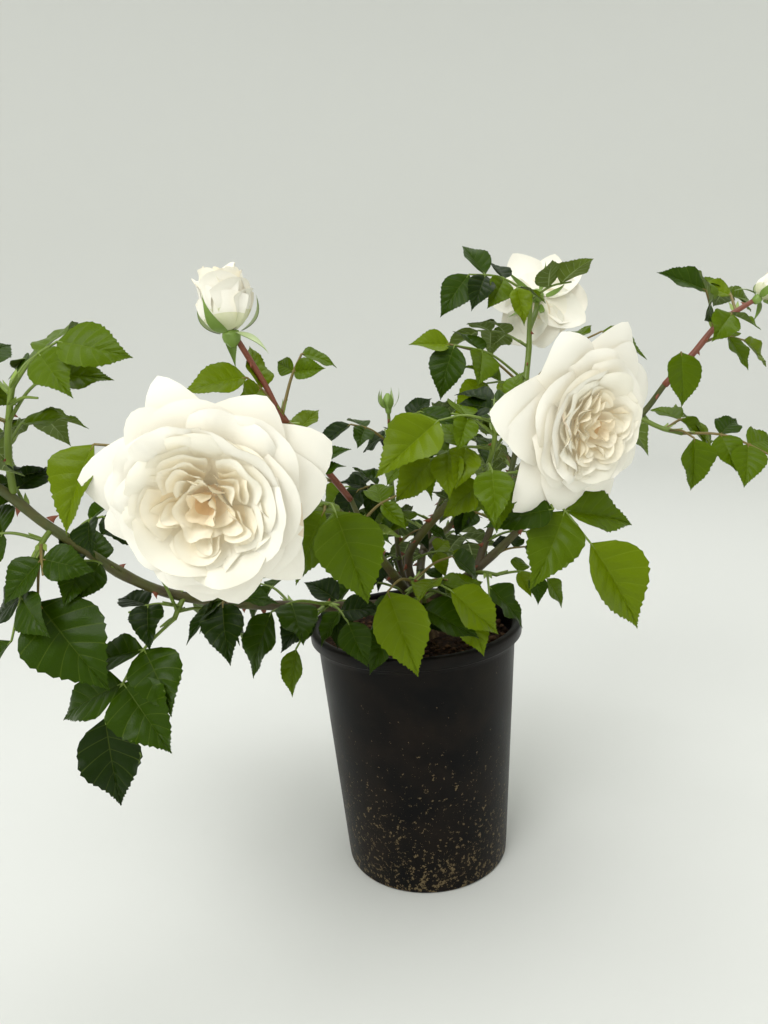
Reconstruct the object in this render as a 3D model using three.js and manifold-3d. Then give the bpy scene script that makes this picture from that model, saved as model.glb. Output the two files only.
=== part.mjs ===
import * as THREE from 'three';
import Module from 'manifold-3d';

// A rose bush in a black nursery pot, with large double blooms, one half-open bud and green buds.
// Millimetres, +Z up. The origin is the middle of the pot's flat underside.

const GAP = 0.3;                 // clearance left between neighbouring pieces
const LEAF_CLEARANCE = 0.5;      // a leaf is tested this much larger than it is built

const POT = {
  height: 214, footRadius: 70.3, neckRadius: 84.2, rimRadius: 90, rimHeight: 11,
  wall: 2.2, floor: 3, sides: 32, footBevel: 2, rimSlope: 1.5, rimStep: 0.5, rimBevel: 3,
};
const SOIL = { top: 196, bottom: POT.floor + GAP, inset: 0.6 };

// The trunk: a short stem with a root flare below and the swollen bud union on top.
const TRUNK = {
  points: [[3, 0, SOIL.top + GAP], [3, 0, 203], [4, 1, 214], [5, 2, 226], [5, 2, 236]],
  radii: [19, 14.5, 11.5, 14, 9], sides: 10,
};

// Each limb: the middle line it follows and its radius at foot and tip.
const LIMBS = {
  cane_left: {
    radii: [5.2, 3.5],
    points: [[4, 0, 226], [-30, -30, 239], [-68, -60, 250], [-134, -110, 274],
      [-181, -135, 297], [-229, -150, 341], [-262, -151, 372], [-285, -150, 385]],
  },
  cane_front: {
    radii: [4.6, 3.3],
    points: [[4, 0, 229], [-12, -46, 262], [-34, -100, 312], [-52, -140, 342]],
  },
  cane_centre: {
    radii: [4.8, 3.2],
    points: [[5, 1, 231], [-1, -12, 252], [-1, -20, 280], [27, -45, 319], [48, -60, 331],
      [81, -75, 338]],
  },
  cane_right: {
    radii: [4.9, 2.8],
    points: [[6, 2, 228], [30, 0, 241], [55, 0, 255], [87, 10, 279], [125, 8, 315],
      [161, 5, 349], [193, 0, 376], [209, -10, 400]],
  },
  cane_back: {
    radii: [4.6, 3.2],
    points: [[5, 4, 230], [12, 50, 260], [34, 100, 292], [58, 140, 322]],
  },
  cane_back_left: {
    radii: [4.7, 3.3],
    points: [[3, 4, 229], [-34, 40, 254], [-84, 86, 276], [-132, 120, 296], [-168, 142, 316]],
  },
  bough_middle: {
    radii: [3.2, 2.3],
    points: [[0, 6, 233], [-8, 13, 252], [-11, 16, 277], [-12, 20, 304]],
  },
  bough_bud: {
    radii: [3.0, 2.3],
    points: [[-12, -46, 262], [-25, -54, 284], [-37, -63, 312], [-45, -70, 335]],
  },
  bough_top: {
    radii: [3.8, 2.9],
    points: [[55, 0, 255], [66, 15, 277], [80, 26, 305], [95, 36, 341], [106, 48, 392]],
  },
  bough_back_right: {
    radii: [3.6, 2.8],
    points: [[12, 50, 260], [52, 84, 284], [108, 112, 318], [154, 130, 352]],
  },
};
const LIMB_SIDES = 6;
const STEPS_PER_SPAN = 2;        // straight pieces laid along each span of a middle line

// Each spray: its stem from limb to last leaf, its radii, its leaves and its flower.
// A leaf row is: place on the stem 0..1, heading and rise of its stalk in degrees, length of
// the stalk, pairs of side leaflets, length of the end leaflet, the turn that leaflet makes
// from the stalk's heading, and its rise.
// `wild` adds leaves by rule: how many, first and last place, stalk length, leaflet length.
const SPRAYS = {
  spray_hero: {
    points: [[-52, -140, 342], [-82, -180, 358], [-113, -216, 373]], radii: [3.2, 3.0], seed: 11,
    flower: { kind: 'bloom', facing: [-0.05, -0.97, -0.20], radius: 64, spin: 20 },
    leaves: [
      [0.08, -79, 8, 34, 0, 64, 40, -68],
      [0.10, -89, 5, 17, 0, 58, -81, -60],
      [0.45, -164, 23, 114, 1, 55, 18, -57],
      [0.30, 95, 30, 42, 2, 40, 10, -25],
      [0.10, 30, -30, 40, 1, 42, 0, -55],
    ],
  },
  spray_right_bloom: {
    points: [[81, -75, 338], [97, -84, 362], [113, -97, 386]], radii: [3.1, 2.8], seed: 12,
    flower: { kind: 'bloom', facing: [0.50, -0.83, -0.18], radius: 68, spin: 75 },
    leaves: [
      [0.08, -43, -38, 66, 1, 74, 19, -57],
      [0.15, -70, -30, 38, 0, 49, -99, -3],
      [0.35, 30, 10, 45, 2, 44, 10, -30],
      [0.20, 170, -10, 36, 1, 44, 0, -35],
    ],
  },
  spray_bud: {
    points: [[-45, -70, 335], [-66, -94, 371], [-84, -115, 401], [-94, -121, 426],
      [-111, -130, 462]],
    radii: [2.3, 1.9], seed: 13,
    flower: { kind: 'opening', facing: [-0.10, 0.02, 0.99], radius: 20, spin: 10 },
    leaves: [
      [0.50, -142, 50, 38, 1, 47, -19, -3],
      [0.52, 32, 65, 44, 1, 29, -11, -13],
      [0.47, -54, -15, 14, 0, 38, 44, -32],
      [0.30, 120, 20, 46, 2, 38, 0, -25],
      [0.10, -175, 10, 40, 1, 36, 0, -35],
    ],
  },
  spray_left_high: {
    points: [[-254, -151, 368], [-253, -152, 393], [-247, -155, 418], [-241, -156, 438]],
    radii: [2.5, 1.6], seed: 14,
    leaves: [
      [0.92, -7, 38, 42, 1, 54, -9, -11],
      [0.75, -24, 9, 24, 0, 80, 5, -13],
      [0.60, 9, 45, 38, 0, 40, -9, -5],
      [0.60, -171, 10, 36, 1, 44, 0, -28],
      [0.85, 165, 40, 40, 1, 42, 0, -10],
      [0.40, 85, 20, 48, 2, 42, 0, -30],
      [0.98, 70, 30, 34, 2, 36, 0, -15],
    ],
  },
  spray_left_end: {
    points: [[-285, -150, 385], [-308, -147, 402], [-326, -142, 426], [-336, -138, 452]],
    radii: [3.4, 1.7], seed: 15,
    flower: { kind: 'bud', facing: [-0.2, 0.05, 0.98], radius: 6, spin: 0 },
    leaves: [[0.25, -120, 0, 48, 2, 46, 0, -45]],
    wild: [4, 0.15, 0.9, 46, 44],
  },
  spray_left_low: {
    points: [[-233, -150, 344], [-236, -157, 339], [-238, -163, 334]], radii: [2.0, 1.6], seed: 16,
    leaves: [
      [0.80, -102, -71, 36, 0, 79, 71, -46],
      [0.95, -124, -62, 59, 1, 45, -29, -43],
      [0.60, 180, 6, 40, 1, 42, 10, -20],
      [0.80, -70, -30, 28, 1, 44, 10, -60],
    ],
  },
  spray_left_hanging: {
    points: [[-160, -124, 287], [-163, -132, 281], [-166, -139, 274]], radii: [2.0, 1.6], seed: 17,
    leaves: [
      [0.95, -129, -38, 76, 2, 66, 59, -76],
      [0.70, -158, 69, 39, 0, 48, 29, -66],
      [0.50, -150, 5, 34, 1, 46, 0, -60],
      [0.70, 60, -25, 55, 1, 42, 0, -50],
    ],
  },
  spray_low_front: {
    points: [[-62, -55, 248], [-66, -66, 254], [-72, -76, 258]], radii: [2.0, 1.6], seed: 18,
    leaves: [
      [0.95, -134, 9, 49, 1, 53, -13, -59],
      [0.70, -160, -24, 79, 0, 44, -6, -63],
      [0.60, -133, -34, 44, 0, 36, 12, -69],
      [0.60, -60, -12, 30, 1, 38, 0, -50],
    ],
  },
  spray_rim: {
    points: [[8, -4, 224], [6, -32, 245], [-4, -66, 270]], radii: [2.6, 1.7], seed: 19,
    leaves: [
      [0.95, -114, 7, 47, 0, 73, 70, -67],
      [0.80, -86, -23, 52, 1, 64, -83, -10],
      [0.70, -67, 14, 56, 1, 52, 60, -46],
      [0.80, -130, -30, 40, 1, 44, 0, -50],
      [0.45, -118, -8, 48, 1, 50, -30, -8],
      [0.70, -40, -10, 42, 1, 46, 0, -55],
      [0.90, 30, 20, 40, 1, 44, 0, -40],
    ],
    wild: [4, 0.3, 0.9, 46, 48],
  },
  spray_centre: {
    points: [[48, -60, 331], [57, -71, 352], [62, -79, 375], [60, -84, 396]],
    radii: [2.4, 1.5], seed: 20,
    leaves: [
      [0.85, -172, 6, 40, 0, 66, 18, -32],
      [0.95, -26, 35, 26, 1, 34, 10, 10],
      [0.55, -176, -5, 44, 2, 44, 0, -45],
      [0.35, -95, 0, 34, 1, 44, 10, -60],
      [0.75, 80, 35, 40, 2, 40, 0, -20],
      [0.25, -10, 0, 40, 1, 46, 0, -45],
    ],
    wild: [3, 0.2, 0.8, 44, 46],
  },
  spray_middle: {
    points: [[-12, 20, 304], [-13, 14, 338], [-12, 4, 372], [-12, 0, 397]],
    radii: [2.3, 1.2], seed: 21,
    flower: { kind: 'bud', facing: [0, 0, 1], radius: 4.6, spin: 0 },
    leaves: [
      [0.70, -30, 30, 34, 1, 36, 0, -20],
      [0.60, -160, 30, 38, 1, 36, 0, -25],
      [0.20, -135, 10, 40, 2, 38, 0, -40],
      [0.40, 60, 20, 46, 2, 40, 0, -30],
    ],
    wild: [3, 0.05, 0.6, 44, 44],
  },
  spray_right_high: {
    points: [[209, -10, 400], [229, -15, 423], [248, -20, 446], [277, -25, 464]],
    radii: [2.8, 1.7], seed: 22,
    flower: { kind: 'opening', facing: [0.78, -0.1, 0.62], radius: 12, spin: 0 },
    leaves: [
      [0.60, -136, 61, 33, 1, 43, -37, 25],
      [0.70, -100, 10, 24, 1, 34, -40, -30],
      [0.15, -98, 50, 20, 0, 47, 8, -72],
      [0.80, 80, 30, 40, 2, 38, 0, -20],
      [0.45, 20, 0, 42, 1, 38, 0, -40],
    ],
  },
  spray_right_low: {
    points: [[193, 0, 374], [207, -8, 366], [222, -15, 361]], radii: [2.2, 1.6], seed: 23,
    leaves: [
      [0.95, -22, -16, 70, 2, 43, 7, -28],
      [0.70, -67, -9, 27, 0, 42, -11, -83],
      [0.60, 40, 0, 52, 2, 42, 0, -40],
    ],
  },
  spray_top: {
    points: [[106, 48, 392], [113, 56, 425], [116, 60, 455], [118, 62, 482]],
    radii: [2.9, 1.8], seed: 24,
    leaves: [
      [0.15, -153, 26, 79, 1, 49, 4, -61],
      [0.10, -159, 30, 81, 0, 37, -5, 5],
      [0.05, -138, 14, 50, 1, 48, 0, -30],
      [0.05, -32, 35, 84, 1, 44, 24, -30],
      [0.98, -163, 18, 60, 2, 46, 0, -46],
      [0.95, -120, 12, 34, 1, 36, 40, -60],
      [0.92, 0, 20, 38, 2, 46, -24, -65],
      [0.45, 150, 20, 50, 2, 40, 0, -25],
    ],
  },
  spray_top_bloom: {
    points: [[116, 60, 452], [124, 72, 466], [128, 82, 478]], radii: [2.4, 2.4], seed: 25,
    flower: { kind: 'bloom', facing: [0.30, 0.75, -0.30], radius: 44, spin: 140 },
    leaves: [],
  },
  spray_low_right: {
    points: [[50, 0, 252], [60, -8, 254], [70, -14, 253]], radii: [2.0, 1.5], seed: 26,
    leaves: [
      [0.95, 6, -10, 44, 2, 32, -20, -60],
      [0.60, -95, -25, 34, 1, 56, 0, -20],
      [0.40, 70, 10, 44, 1, 40, 0, -45],
    ],
  },
  spray_back: {
    points: [[58, 140, 322], [64, 158, 344], [66, 172, 368]], radii: [3.1, 1.8], seed: 27,
    flower: { kind: 'bud', facing: [0.1, 0.2, 0.97], radius: 6, spin: 0 },
    leaves: [[0.1, 60, -10, 60, 2, 48, 0, -50]],
    wild: [4, 0.1, 0.9, 52, 46],
  },
  spray_back_left: {
    points: [[-168, 142, 316], [-182, 154, 328], [-190, 166, 342]], radii: [3.2, 2.6], seed: 28,
    flower: { kind: 'bloom', facing: [-0.42, 0.85, 0.30], radius: 54, spin: 50 },
    leaves: [
      [0.1, 160, -10, 60, 2, 50, 0, -40],
      [0.2, 60, 0, 58, 2, 48, 0, -35],
      [0.1, -100, -10, 56, 2, 46, 0, -50],
    ],
  },
  spray_back_low: {
    points: [[-84, 86, 277], [-90, 98, 284], [-96, 108, 288]], radii: [2.2, 1.6], seed: 29,
    leaves: [
      [0.9, 95, -25, 74, 2, 54, 0, -60],
      [0.6, 160, -10, 56, 1, 46, 0, -45],
      [0.7, 30, 0, 50, 2, 44, 0, -40],
    ],
  },
  spray_back_right: {
    points: [[154, 130, 352], [172, 138, 370], [184, 146, 392]], radii: [2.7, 1.8], seed: 30,
    flower: { kind: 'opening', facing: [0.35, 0.3, 0.88], radius: 16, spin: 0 },
    leaves: [[0.1, 90, -20, 64, 2, 52, 0, -50]],
    wild: [4, 0.1, 0.85, 54, 46],
  },
  spray_back_base: {
    points: [[14, 56, 264], [24, 66, 268], [34, 74, 270]], radii: [2.2, 1.6], seed: 31,
    leaves: [
      [0.9, 60, -20, 62, 2, 50, 0, -60],
      [0.6, 120, -15, 50, 1, 46, 0, -55],
      [0.8, 0, -5, 50, 2, 44, 0, -45],
    ],
  },
};

const STEM_SIDES = 5;
const STALK_SIDES = 3;
const STALK_RADIUS = 1.3;
const STALK_ARCH = 0.10;              // how far a leaf stalk bows up, in its own length
const PAIR_PLACES = [[], [0.62], [0.44, 0.74], [0.36, 0.6, 0.82]];
const PAIR_SIZES = [[], [0.85], [0.82, 0.9], [0.7, 0.8, 0.88]];
const LEAFLET = {
  halfWidth: 0.36, thickness: 1.8, widest: 0.44, spread: 66, rootDepth: 0.3,
};
const SIMPLIFY = 0.1;                 // detail smaller than this is smoothed away after fusing

// How one leaflet differs from the next, each as its least value and its range. Angles are in
// degrees; droop and curl are shares of the length. `rock` tilts a whole leaf to either side.
const VARIATION = {
  length: [0.94, 0.12], width: [0.94, 0.14], fold: [4, 14], curl: [0.05, 0.12],
  spread: [LEAFLET.spread - 8, 16], droop: [0.05, 0.3], rock: [-0.25, 0.5],
};

// Leaves added by rule: each measure at the stem's foot, and its change from there to the tip.
// The stalk's reach and the blade are shares of the spray's own, the rest degrees.
const WILD = {
  branchAngle: 144, turnJitter: [-15, 30],
  rise: [5, 30], reach: [1.1, -0.35], blade: [1.1, -0.3], dip: [-50, 25], dipJitter: [0, 10],
};

const SUN_DIVIDE = 55;                // leaves rooted further back than this face backwards
const SUN_PULL = 0.75;                // how strongly a leaf's face is turned to the light
const SUN_ASIDE = 0.3;                // the light's lean to the leaf's own side
const SUN_RISE = 0.75;                // the light's height for 1 forward

const STEEP = 0.9;                    // an axis this near upright takes another guide
const PARALLEL = 1e-9;                // a line this flat to a triangle doesn't cut it
const SHOULDER = { sides: 24, margin: 1, neckShare: 0.3 };

const FINISH = {
  pot: [0x17181a, 0.45], soil: [0x35241b, 0.95], trunk: [0x5b4a35, 0.85], cane: [0x5d6a37, 0.7],
  leaf: [0x3f6f2b, 0.6], bloom: [0x5c8440, 0.6],
};

// ---- small vector arithmetic on [x, y, z] ----

const radians = (degrees) => degrees * Math.PI / 180;
const add = (a, b) => [a[0] + b[0], a[1] + b[1], a[2] + b[2]];
const subtract = (a, b) => [a[0] - b[0], a[1] - b[1], a[2] - b[2]];
const scale = (a, factor) => [a[0] * factor, a[1] * factor, a[2] * factor];
const dot = (a, b) => a[0] * b[0] + a[1] * b[1] + a[2] * b[2];
const cross = (a, b) => [
  a[1] * b[2] - a[2] * b[1],
  a[2] * b[0] - a[0] * b[2],
  a[0] * b[1] - a[1] * b[0],
];
const unit = (a) => scale(a, 1 / Math.hypot(...a));
const blend = (a, b, share) => add(scale(a, 1 - share), scale(b, share));
const sum = (origin, ...terms) => terms.reduce((total, [axis, size]) => (
  add(total, scale(axis, size))), origin);

// The direction with a compass heading from +X and a rise above level, both in degrees.
function direction(heading, rise) {
  const level = Math.cos(radians(rise));
  return [
    level * Math.cos(radians(heading)),
    level * Math.sin(radians(heading)),
    Math.sin(radians(rise)),
  ];
}

// A repeatable stream of numbers from 0 to 1: a counter whose bits are mixed by shifts and
// products, the mulberry32 rule with its own fixed numbers.
function seededRandom(seed) {
  let state = seed;
  return () => {
    state = (state + 0x6d2b79f5) >>> 0;
    let mixed = Math.imul(state ^ (state >>> 15), 1 | state);
    mixed = (mixed + Math.imul(mixed ^ (mixed >>> 7), 61 | mixed)) ^ mixed;
    return ((mixed ^ (mixed >>> 14)) >>> 0) / 2 ** 32;
  };
}

const vary = ([least, range], random) => least + range * random();

// ---- curves ----

// Point on the smooth curve through `points` at `place` from 0 to 1.
function onCurve(points, place) {
  const spans = points.length - 1;
  const span = Math.min(Math.floor(place * spans), spans - 1);
  const t = place * spans - span;
  const p1 = points[span];
  const p2 = points[span + 1];
  const p0 = span > 0 ? points[span - 1] : subtract(scale(p1, 2), p2);
  const p3 = span < spans - 1 ? points[span + 2] : subtract(scale(p2, 2), p1);
  return p1.map((value, axis) => 0.5 * (
    2 * value + (p2[axis] - p0[axis]) * t
    + (2 * p0[axis] - 5 * value + 4 * p2[axis] - p3[axis]) * t * t
    + (3 * value - p0[axis] - 3 * p2[axis] + p3[axis]) * t * t * t));
}

// Point on the jointed line through `points` at `place` from 0 to 1.
function onLine(points, place) {
  const spans = points.length - 1;
  const span = Math.min(Math.floor(place * spans), spans - 1);
  return blend(points[span], points[span + 1], place * spans - span);
}

function smoothLine(points, stepsPerSpan) {
  const steps = (points.length - 1) * stepsPerSpan;
  return Array.from({ length: steps + 1 }, (_, step) => onCurve(points, step / steps));
}

// ---- closed blocks of points and triangles ----

// Rings of equal count joined in order, with a flat cap on each end.
function ringBlock(rings) {
  const sides = rings[0].length;
  const points = rings.flat();
  const faces = [];
  for (let ring = 0; ring + 1 < rings.length; ring += 1) {
    for (let side = 0; side < sides; side += 1) {
      const a = ring * sides + side;
      const b = ring * sides + (side + 1) % sides;
      faces.push([a, b, b + sides], [a, b + sides, a + sides]);
    }
  }
  const last = (rings.length - 1) * sides;
  for (let side = 1; side + 1 < sides; side += 1) {
    faces.push([0, side + 1, side], [last, last + side, last + side + 1]);
  }
  return { points, faces };
}

// A round rod along `line`; `radiusAt` gives its radius from 0 at the foot to 1 at the tip.
function rod(line, radiusAt, sides) {
  const rings = [];
  let across = null;
  line.forEach((centre, step) => {
    const before = line[Math.max(step - 1, 0)];
    const after = line[Math.min(step + 1, line.length - 1)];
    const along = unit(subtract(after, before));
    const guide = across ?? (Math.abs(along[2]) > STEEP ? [1, 0, 0] : [0, 0, 1]);
    across = unit(subtract(guide, scale(along, dot(guide, along))));
    const other = cross(along, across);
    const radius = radiusAt(step / (line.length - 1));
    rings.push(Array.from({ length: sides }, (_, side) => {
      const angle = 2 * Math.PI * side / sides;
      return sum(centre, [across, radius * Math.cos(angle)], [other, radius * Math.sin(angle)]);
    }));
  });
  return ringBlock(rings);
}

const taper = (radii) => (place) => radii[0] + (radii[1] - radii[0]) * place;

const changing = ([foot, change], share) => foot + change * share;

// A thin blade: rows of points from a single root point to a single tip point. The back has
// the same outline, and `backRows` gives its inner points.
function bladeBlock(rows, backRows) {
  const points = [];
  const keep = (point) => points.push(point) - 1;
  const front = rows.map((row) => row.map(keep));
  const back = front.map((row, r) => row.map((index, i) => (
    i === 0 || i === row.length - 1 ? index : keep(backRows[r][i]))));
  const faces = [];
  const skin = (grid, face) => {
    const last = grid.length - 1;
    for (let i = 0; i + 1 < grid[1].length; i += 1) {
      face(grid[0][0], grid[1][i], grid[1][i + 1]);
      face(grid[last - 1][i], grid[last][0], grid[last - 1][i + 1]);
    }
    for (let r = 1; r + 1 < last; r += 1) {
      for (let i = 0; i + 1 < grid[r].length; i += 1) {
        face(grid[r][i], grid[r + 1][i], grid[r + 1][i + 1]);
        face(grid[r][i], grid[r + 1][i + 1], grid[r][i + 1]);
      }
    }
  };
  skin(front, (a, b, c) => faces.push([a, b, c]));
  skin(back, (a, b, c) => faces.push([a, c, b]));
  return { points, faces };
}

// ---- leaves ----

// One leaflet: folded along its midrib, the tip curling down, thickest under the midrib.
function leafletBlock(leaflet, grown) {
  const { root, forward, side, normal, length, fold, curl } = leaflet;
  const start = subtract(root, scale(forward, LEAFLET.rootDepth));
  const reach = length + LEAFLET.rootDepth + grown;
  const midrib = (x) => sum(start, [forward, reach * x], [normal, grown - curl * reach * x * x]);
  const half = LEAFLET.halfWidth * leaflet.width * length + grown;
  const widest = midrib(LEAFLET.widest);
  const edge = (hand) => sum(widest, [side, hand * half * Math.cos(fold)],
    [normal, half * Math.sin(fold)]);
  const under = sum(widest, [normal, -LEAFLET.thickness - 2 * grown]);
  const rows = [[midrib(0)], [edge(-1), widest, edge(1)], [midrib(1)]];
  return bladeBlock(rows, [[], [null, under, null], []]);
}

// Leaves turn their faces out and up, to the front or to the back of the bush.
function sunward(point) {
  return unit([SUN_ASIDE * Math.sign(point[0]), point[1] < SUN_DIVIDE ? -1 : 1, SUN_RISE]);
}

// The part of `facing` square to `along`, as a unit direction.
const squareTo = (along, facing) => unit(subtract(facing, scale(along, dot(facing, along))));

// A leaflet growing from `root` along `forward`, its upper face turned towards `up`.
function leafletAt(root, forward, up, length, random) {
  const normal = squareTo(forward, up);
  return {
    root, forward, normal, side: cross(normal, forward),
    length: length * vary(VARIATION.length, random),
    width: vary(VARIATION.width, random),
    fold: radians(vary(VARIATION.fold, random)),
    curl: vary(VARIATION.curl, random),
  };
}

// A compound leaf: a bowed stalk, pairs of side leaflets and one at the end.
function compoundLeaf(base, row, random) {
  const [heading, rise, reach, pairs, blade, turn, dip] = row;
  const tip = add(base, scale(direction(heading, rise), reach));
  const stalk = [base, add(blend(base, tip, 0.5), [0, 0, STALK_ARCH * reach]), tip];
  const sun = sunward(tip);
  const rock = vary(VARIATION.rock, random);
  const leaflets = [];
  PAIR_PLACES[pairs].forEach((place, pair) => {
    const along = unit(subtract(...(place < 0.5 ? [stalk[1], base] : [tip, stalk[1]])));
    const level = unit(cross([0, 0, 1], along));
    const top = squareTo(along, sum([0, 0, 0], [cross(along, level), 1 - SUN_PULL],
      [sun, SUN_PULL], [level, rock]));
    const side = cross(top, along);
    for (const hand of [-1, 1]) {
      const spread = radians(vary(VARIATION.spread, random));
      const droop = vary(VARIATION.droop, random);
      const forward = unit(sum([0, 0, -droop], [along, Math.cos(spread)],
        [side, hand * Math.sin(spread)]));
      const length = blade * PAIR_SIZES[pairs][pair];
      leaflets.push(leafletAt(onLine(stalk, place), forward, top, length, random));
    }
  });
  const forward = direction(heading + turn, dip);
  const level = unit(cross([0, 0, 1], forward));
  const up = sum([0, 0, 0], [cross(forward, level), 1 - SUN_PULL], [sun, SUN_PULL],
    [level, rock]);
  leaflets.push(leafletAt(tip, forward, up, blade, random));
  return { stalk, leaflets };
}

// The leaf rows of a spray: the listed leaves, then the ones that follow by rule up the stem.
function leafRows(spray, random) {
  const rows = spray.leaves.map((row) => [...row]);
  if (spray.wild) {
    const [count, first, last, reach, blade] = spray.wild;
    const start = 360 * random();
    for (let leaf = 0; leaf < count; leaf += 1) {
      const share = (leaf + 0.5) / count;
      rows.push([
        first + (last - first) * share,
        start + WILD.branchAngle * leaf + vary(WILD.turnJitter, random),
        changing(WILD.rise, share),
        reach * changing(WILD.reach, share),
        1 + leaf % 2,
        blade * changing(WILD.blade, share),
        0,
        changing(WILD.dip, share) + vary(WILD.dipJitter, random),
      ]);
    }
  }
  return rows;
}

// ---- flowers ----

// The frame of a flower: origin on the stem's tip, axis along its facing.
function flowerFrame(origin, facing, spin) {
  const axis = unit(facing);
  const guide = Math.abs(axis[2]) > STEEP ? [0, 1, 0] : [0, 0, 1];
  const level = unit(cross(guide, axis));
  const upright = cross(axis, level);
  const turn = radians(spin);
  return {
    origin, axis,
    u: add(scale(level, Math.cos(turn)), scale(upright, Math.sin(turn))),
    v: add(scale(upright, Math.cos(turn)), scale(level, -Math.sin(turn))),
  };
}

function flowerPoint(frame, radius, height, azimuth) {
  return sum(frame.origin, [frame.axis, height], [frame.u, radius * Math.cos(azimuth)],
    [frame.v, radius * Math.sin(azimuth)]);
}

// The width of a petal at `t` of its length, in its widest: a power curve, then a round lip.
function petalSwell(t) {
  const { widest, rootPower, lipPower } = PETAL;
  if (t < widest) return (t / widest) ** rootPower;
  return (1 - ((t - widest) / (1 - widest)) ** lipPower) ** (1 / lipPower);
}

// A petal bends outwards from angle `open[0]` at its root to `open[1]` at its lip, both from
// the flower's axis, on a circular arc, and wraps round the axis.
function petalBlock(frame, petal) {
  const { azimuth, length, halfWidth, open, startRadius, startHeight } = petal;
  const first = radians(open[0]);
  const bend = radians(open[1]) - first;
  const at = (across, t, depth) => {
    const angle = first + bend * t;
    const radius = startRadius + length * (Math.cos(first) - Math.cos(angle)) / bend;
    const height = startHeight + length * (Math.sin(angle) - Math.sin(first)) / bend;
    const wrap = across * halfWidth * petalSwell(t)
      / Math.max(radius, PETAL.tightestWrap * halfWidth);
    return flowerPoint(frame, radius + depth * Math.cos(angle), height - depth * Math.sin(angle),
      azimuth + wrap);
  };
  const rowsAt = (depth) => PETAL.stations.map((t) => [-1, 0, 1].map((s) => at(s, t, depth)));
  const rows = [[at(0, 0, 0)], ...rowsAt(0), [at(0, 1, 0)]];
  return bladeBlock(rows, [[], ...rowsAt(PETAL.thickness), []]);
}

// A solid of revolution about the flower's axis, its rows made wavy round it.
function flowerCore(frame, size, core) {
  return ringBlock(core.rows.map(([radius, height]) => (
    Array.from({ length: core.sides }, (_, side) => {
      const azimuth = 2 * Math.PI * side / core.sides;
      const wave = Math.sin(CORE_LOBES * azimuth + CORE_TWIST * height);
      return flowerPoint(frame, size * radius * (1 + core.waves * wave), size * height, azimuth);
    }))));
}

const PETAL = {
  rootRadius: 0.05, thickness: 1.6, stations: [0.4, 0.85],
  widest: 0.6, rootPower: 0.7, lipPower: 3, tightestWrap: 0.55,
};
const CORE_LOBES = 5;
const CORE_TWIST = 9;

// Flower bodies as rows of [radius, height] in flower radii, from the root to the heart.
const ROSETTE = {
  rows: [[0.08, -0.06], [0.14, 0.02], [0.5, 0.16], [0.79, 0.38], [0.68, 0.52], [0.5, 0.6],
    [0.28, 0.62], [0.1, 0.5]],
  sides: 10, waves: 0.07,
};
const EGG = {
  rows: [[0.28, -0.35], [0.45, -0.08], [0.92, 0.5], [1.0, 1.05], [0.8, 1.6], [0.3, 2.0]],
  sides: 8, waves: 0.03,
};
const GUARD_PETALS = {
  bloom: { count: 5, length: 1.08, halfWidth: 0.6, open: [48, 104], startHeight: 0 },
  opening: { count: 3, length: 2.0, halfWidth: 0.95, open: [58, 4], startHeight: -0.1 },
  bud: { count: 0 },
};

function flowerBlocks(tip, flower) {
  const frame = flowerFrame(tip, flower.facing, flower.spin);
  const size = flower.radius;
  const blocks = [flowerCore(frame, size, flower.kind === 'bloom' ? ROSETTE : EGG)];
  const guard = GUARD_PETALS[flower.kind];
  for (let petal = 0; petal < guard.count; petal += 1) {
    blocks.push(petalBlock(frame, {
      azimuth: radians(360 * petal / guard.count),
      length: guard.length * size, halfWidth: guard.halfWidth * size, open: guard.open,
      startRadius: PETAL.rootRadius * size, startHeight: guard.startHeight * size,
    }));
  }
  return blocks;
}

// ---- crossing test ----

const boundsOf = (block) => {
  const low = [Infinity, Infinity, Infinity];
  const high = [-Infinity, -Infinity, -Infinity];
  for (const point of block.points) {
    for (let axis = 0; axis < 3; axis += 1) {
      low[axis] = Math.min(low[axis], point[axis]);
      high[axis] = Math.max(high[axis], point[axis]);
    }
  }
  return { low, high };
};

const boxesMeet = (a, b) => [0, 1, 2].every((axis) => (
  a.low[axis] <= b.high[axis] && b.low[axis] <= a.high[axis]));

// True when the straight line from `start` to `end` passes through the triangle.
function lineCutsTriangle(start, end, [a, b, c]) {
  const ray = subtract(end, start);
  const edge1 = subtract(b, a);
  const edge2 = subtract(c, a);
  const p = cross(ray, edge2);
  const determinant = dot(edge1, p);
  if (Math.abs(determinant) < PARALLEL) return false;
  const from = subtract(start, a);
  const s = dot(from, p) / determinant;
  const q = cross(from, edge1);
  const t = dot(ray, q) / determinant;
  const along = dot(edge2, q) / determinant;
  return s >= 0 && t >= 0 && s + t <= 1 && along >= 0 && along <= 1;
}

function edgesCutFaces(first, second) {
  const triangles = second.faces.map((face) => face.map((index) => second.points[index]));
  return first.faces.some((face) => face.some((from, corner) => {
    const to = face[(corner + 1) % 3];
    return from < to && triangles.some((triangle) => (
      lineCutsTriangle(first.points[from], first.points[to], triangle)));
  }));
}

// Everything grown so far, as blocks with an owner.
class Garden {
  constructor() {
    this.grown = [];
  }

  plant(owner, block) {
    this.grown.push({ owner, block, bounds: boundsOf(block) });
  }

  // A block is clear when it cuts nothing that belongs to another owner.
  isClear(owner, block) {
    const bounds = boundsOf(block);
    return !this.grown.some((other) => other.owner !== owner && boxesMeet(bounds, other.bounds)
      && (edgesCutFaces(block, other.block) || edgesCutFaces(other.block, block)));
  }
}

// ---- solids ----

const wasm = await Module();
wasm.setup();

function solidOf(block) {
  return new wasm.Manifold(new wasm.Mesh({
    numProp: 3,
    vertProperties: Float32Array.from(block.points.flat()),
    triVerts: Uint32Array.from(block.faces.flat()),
  }));
}

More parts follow.
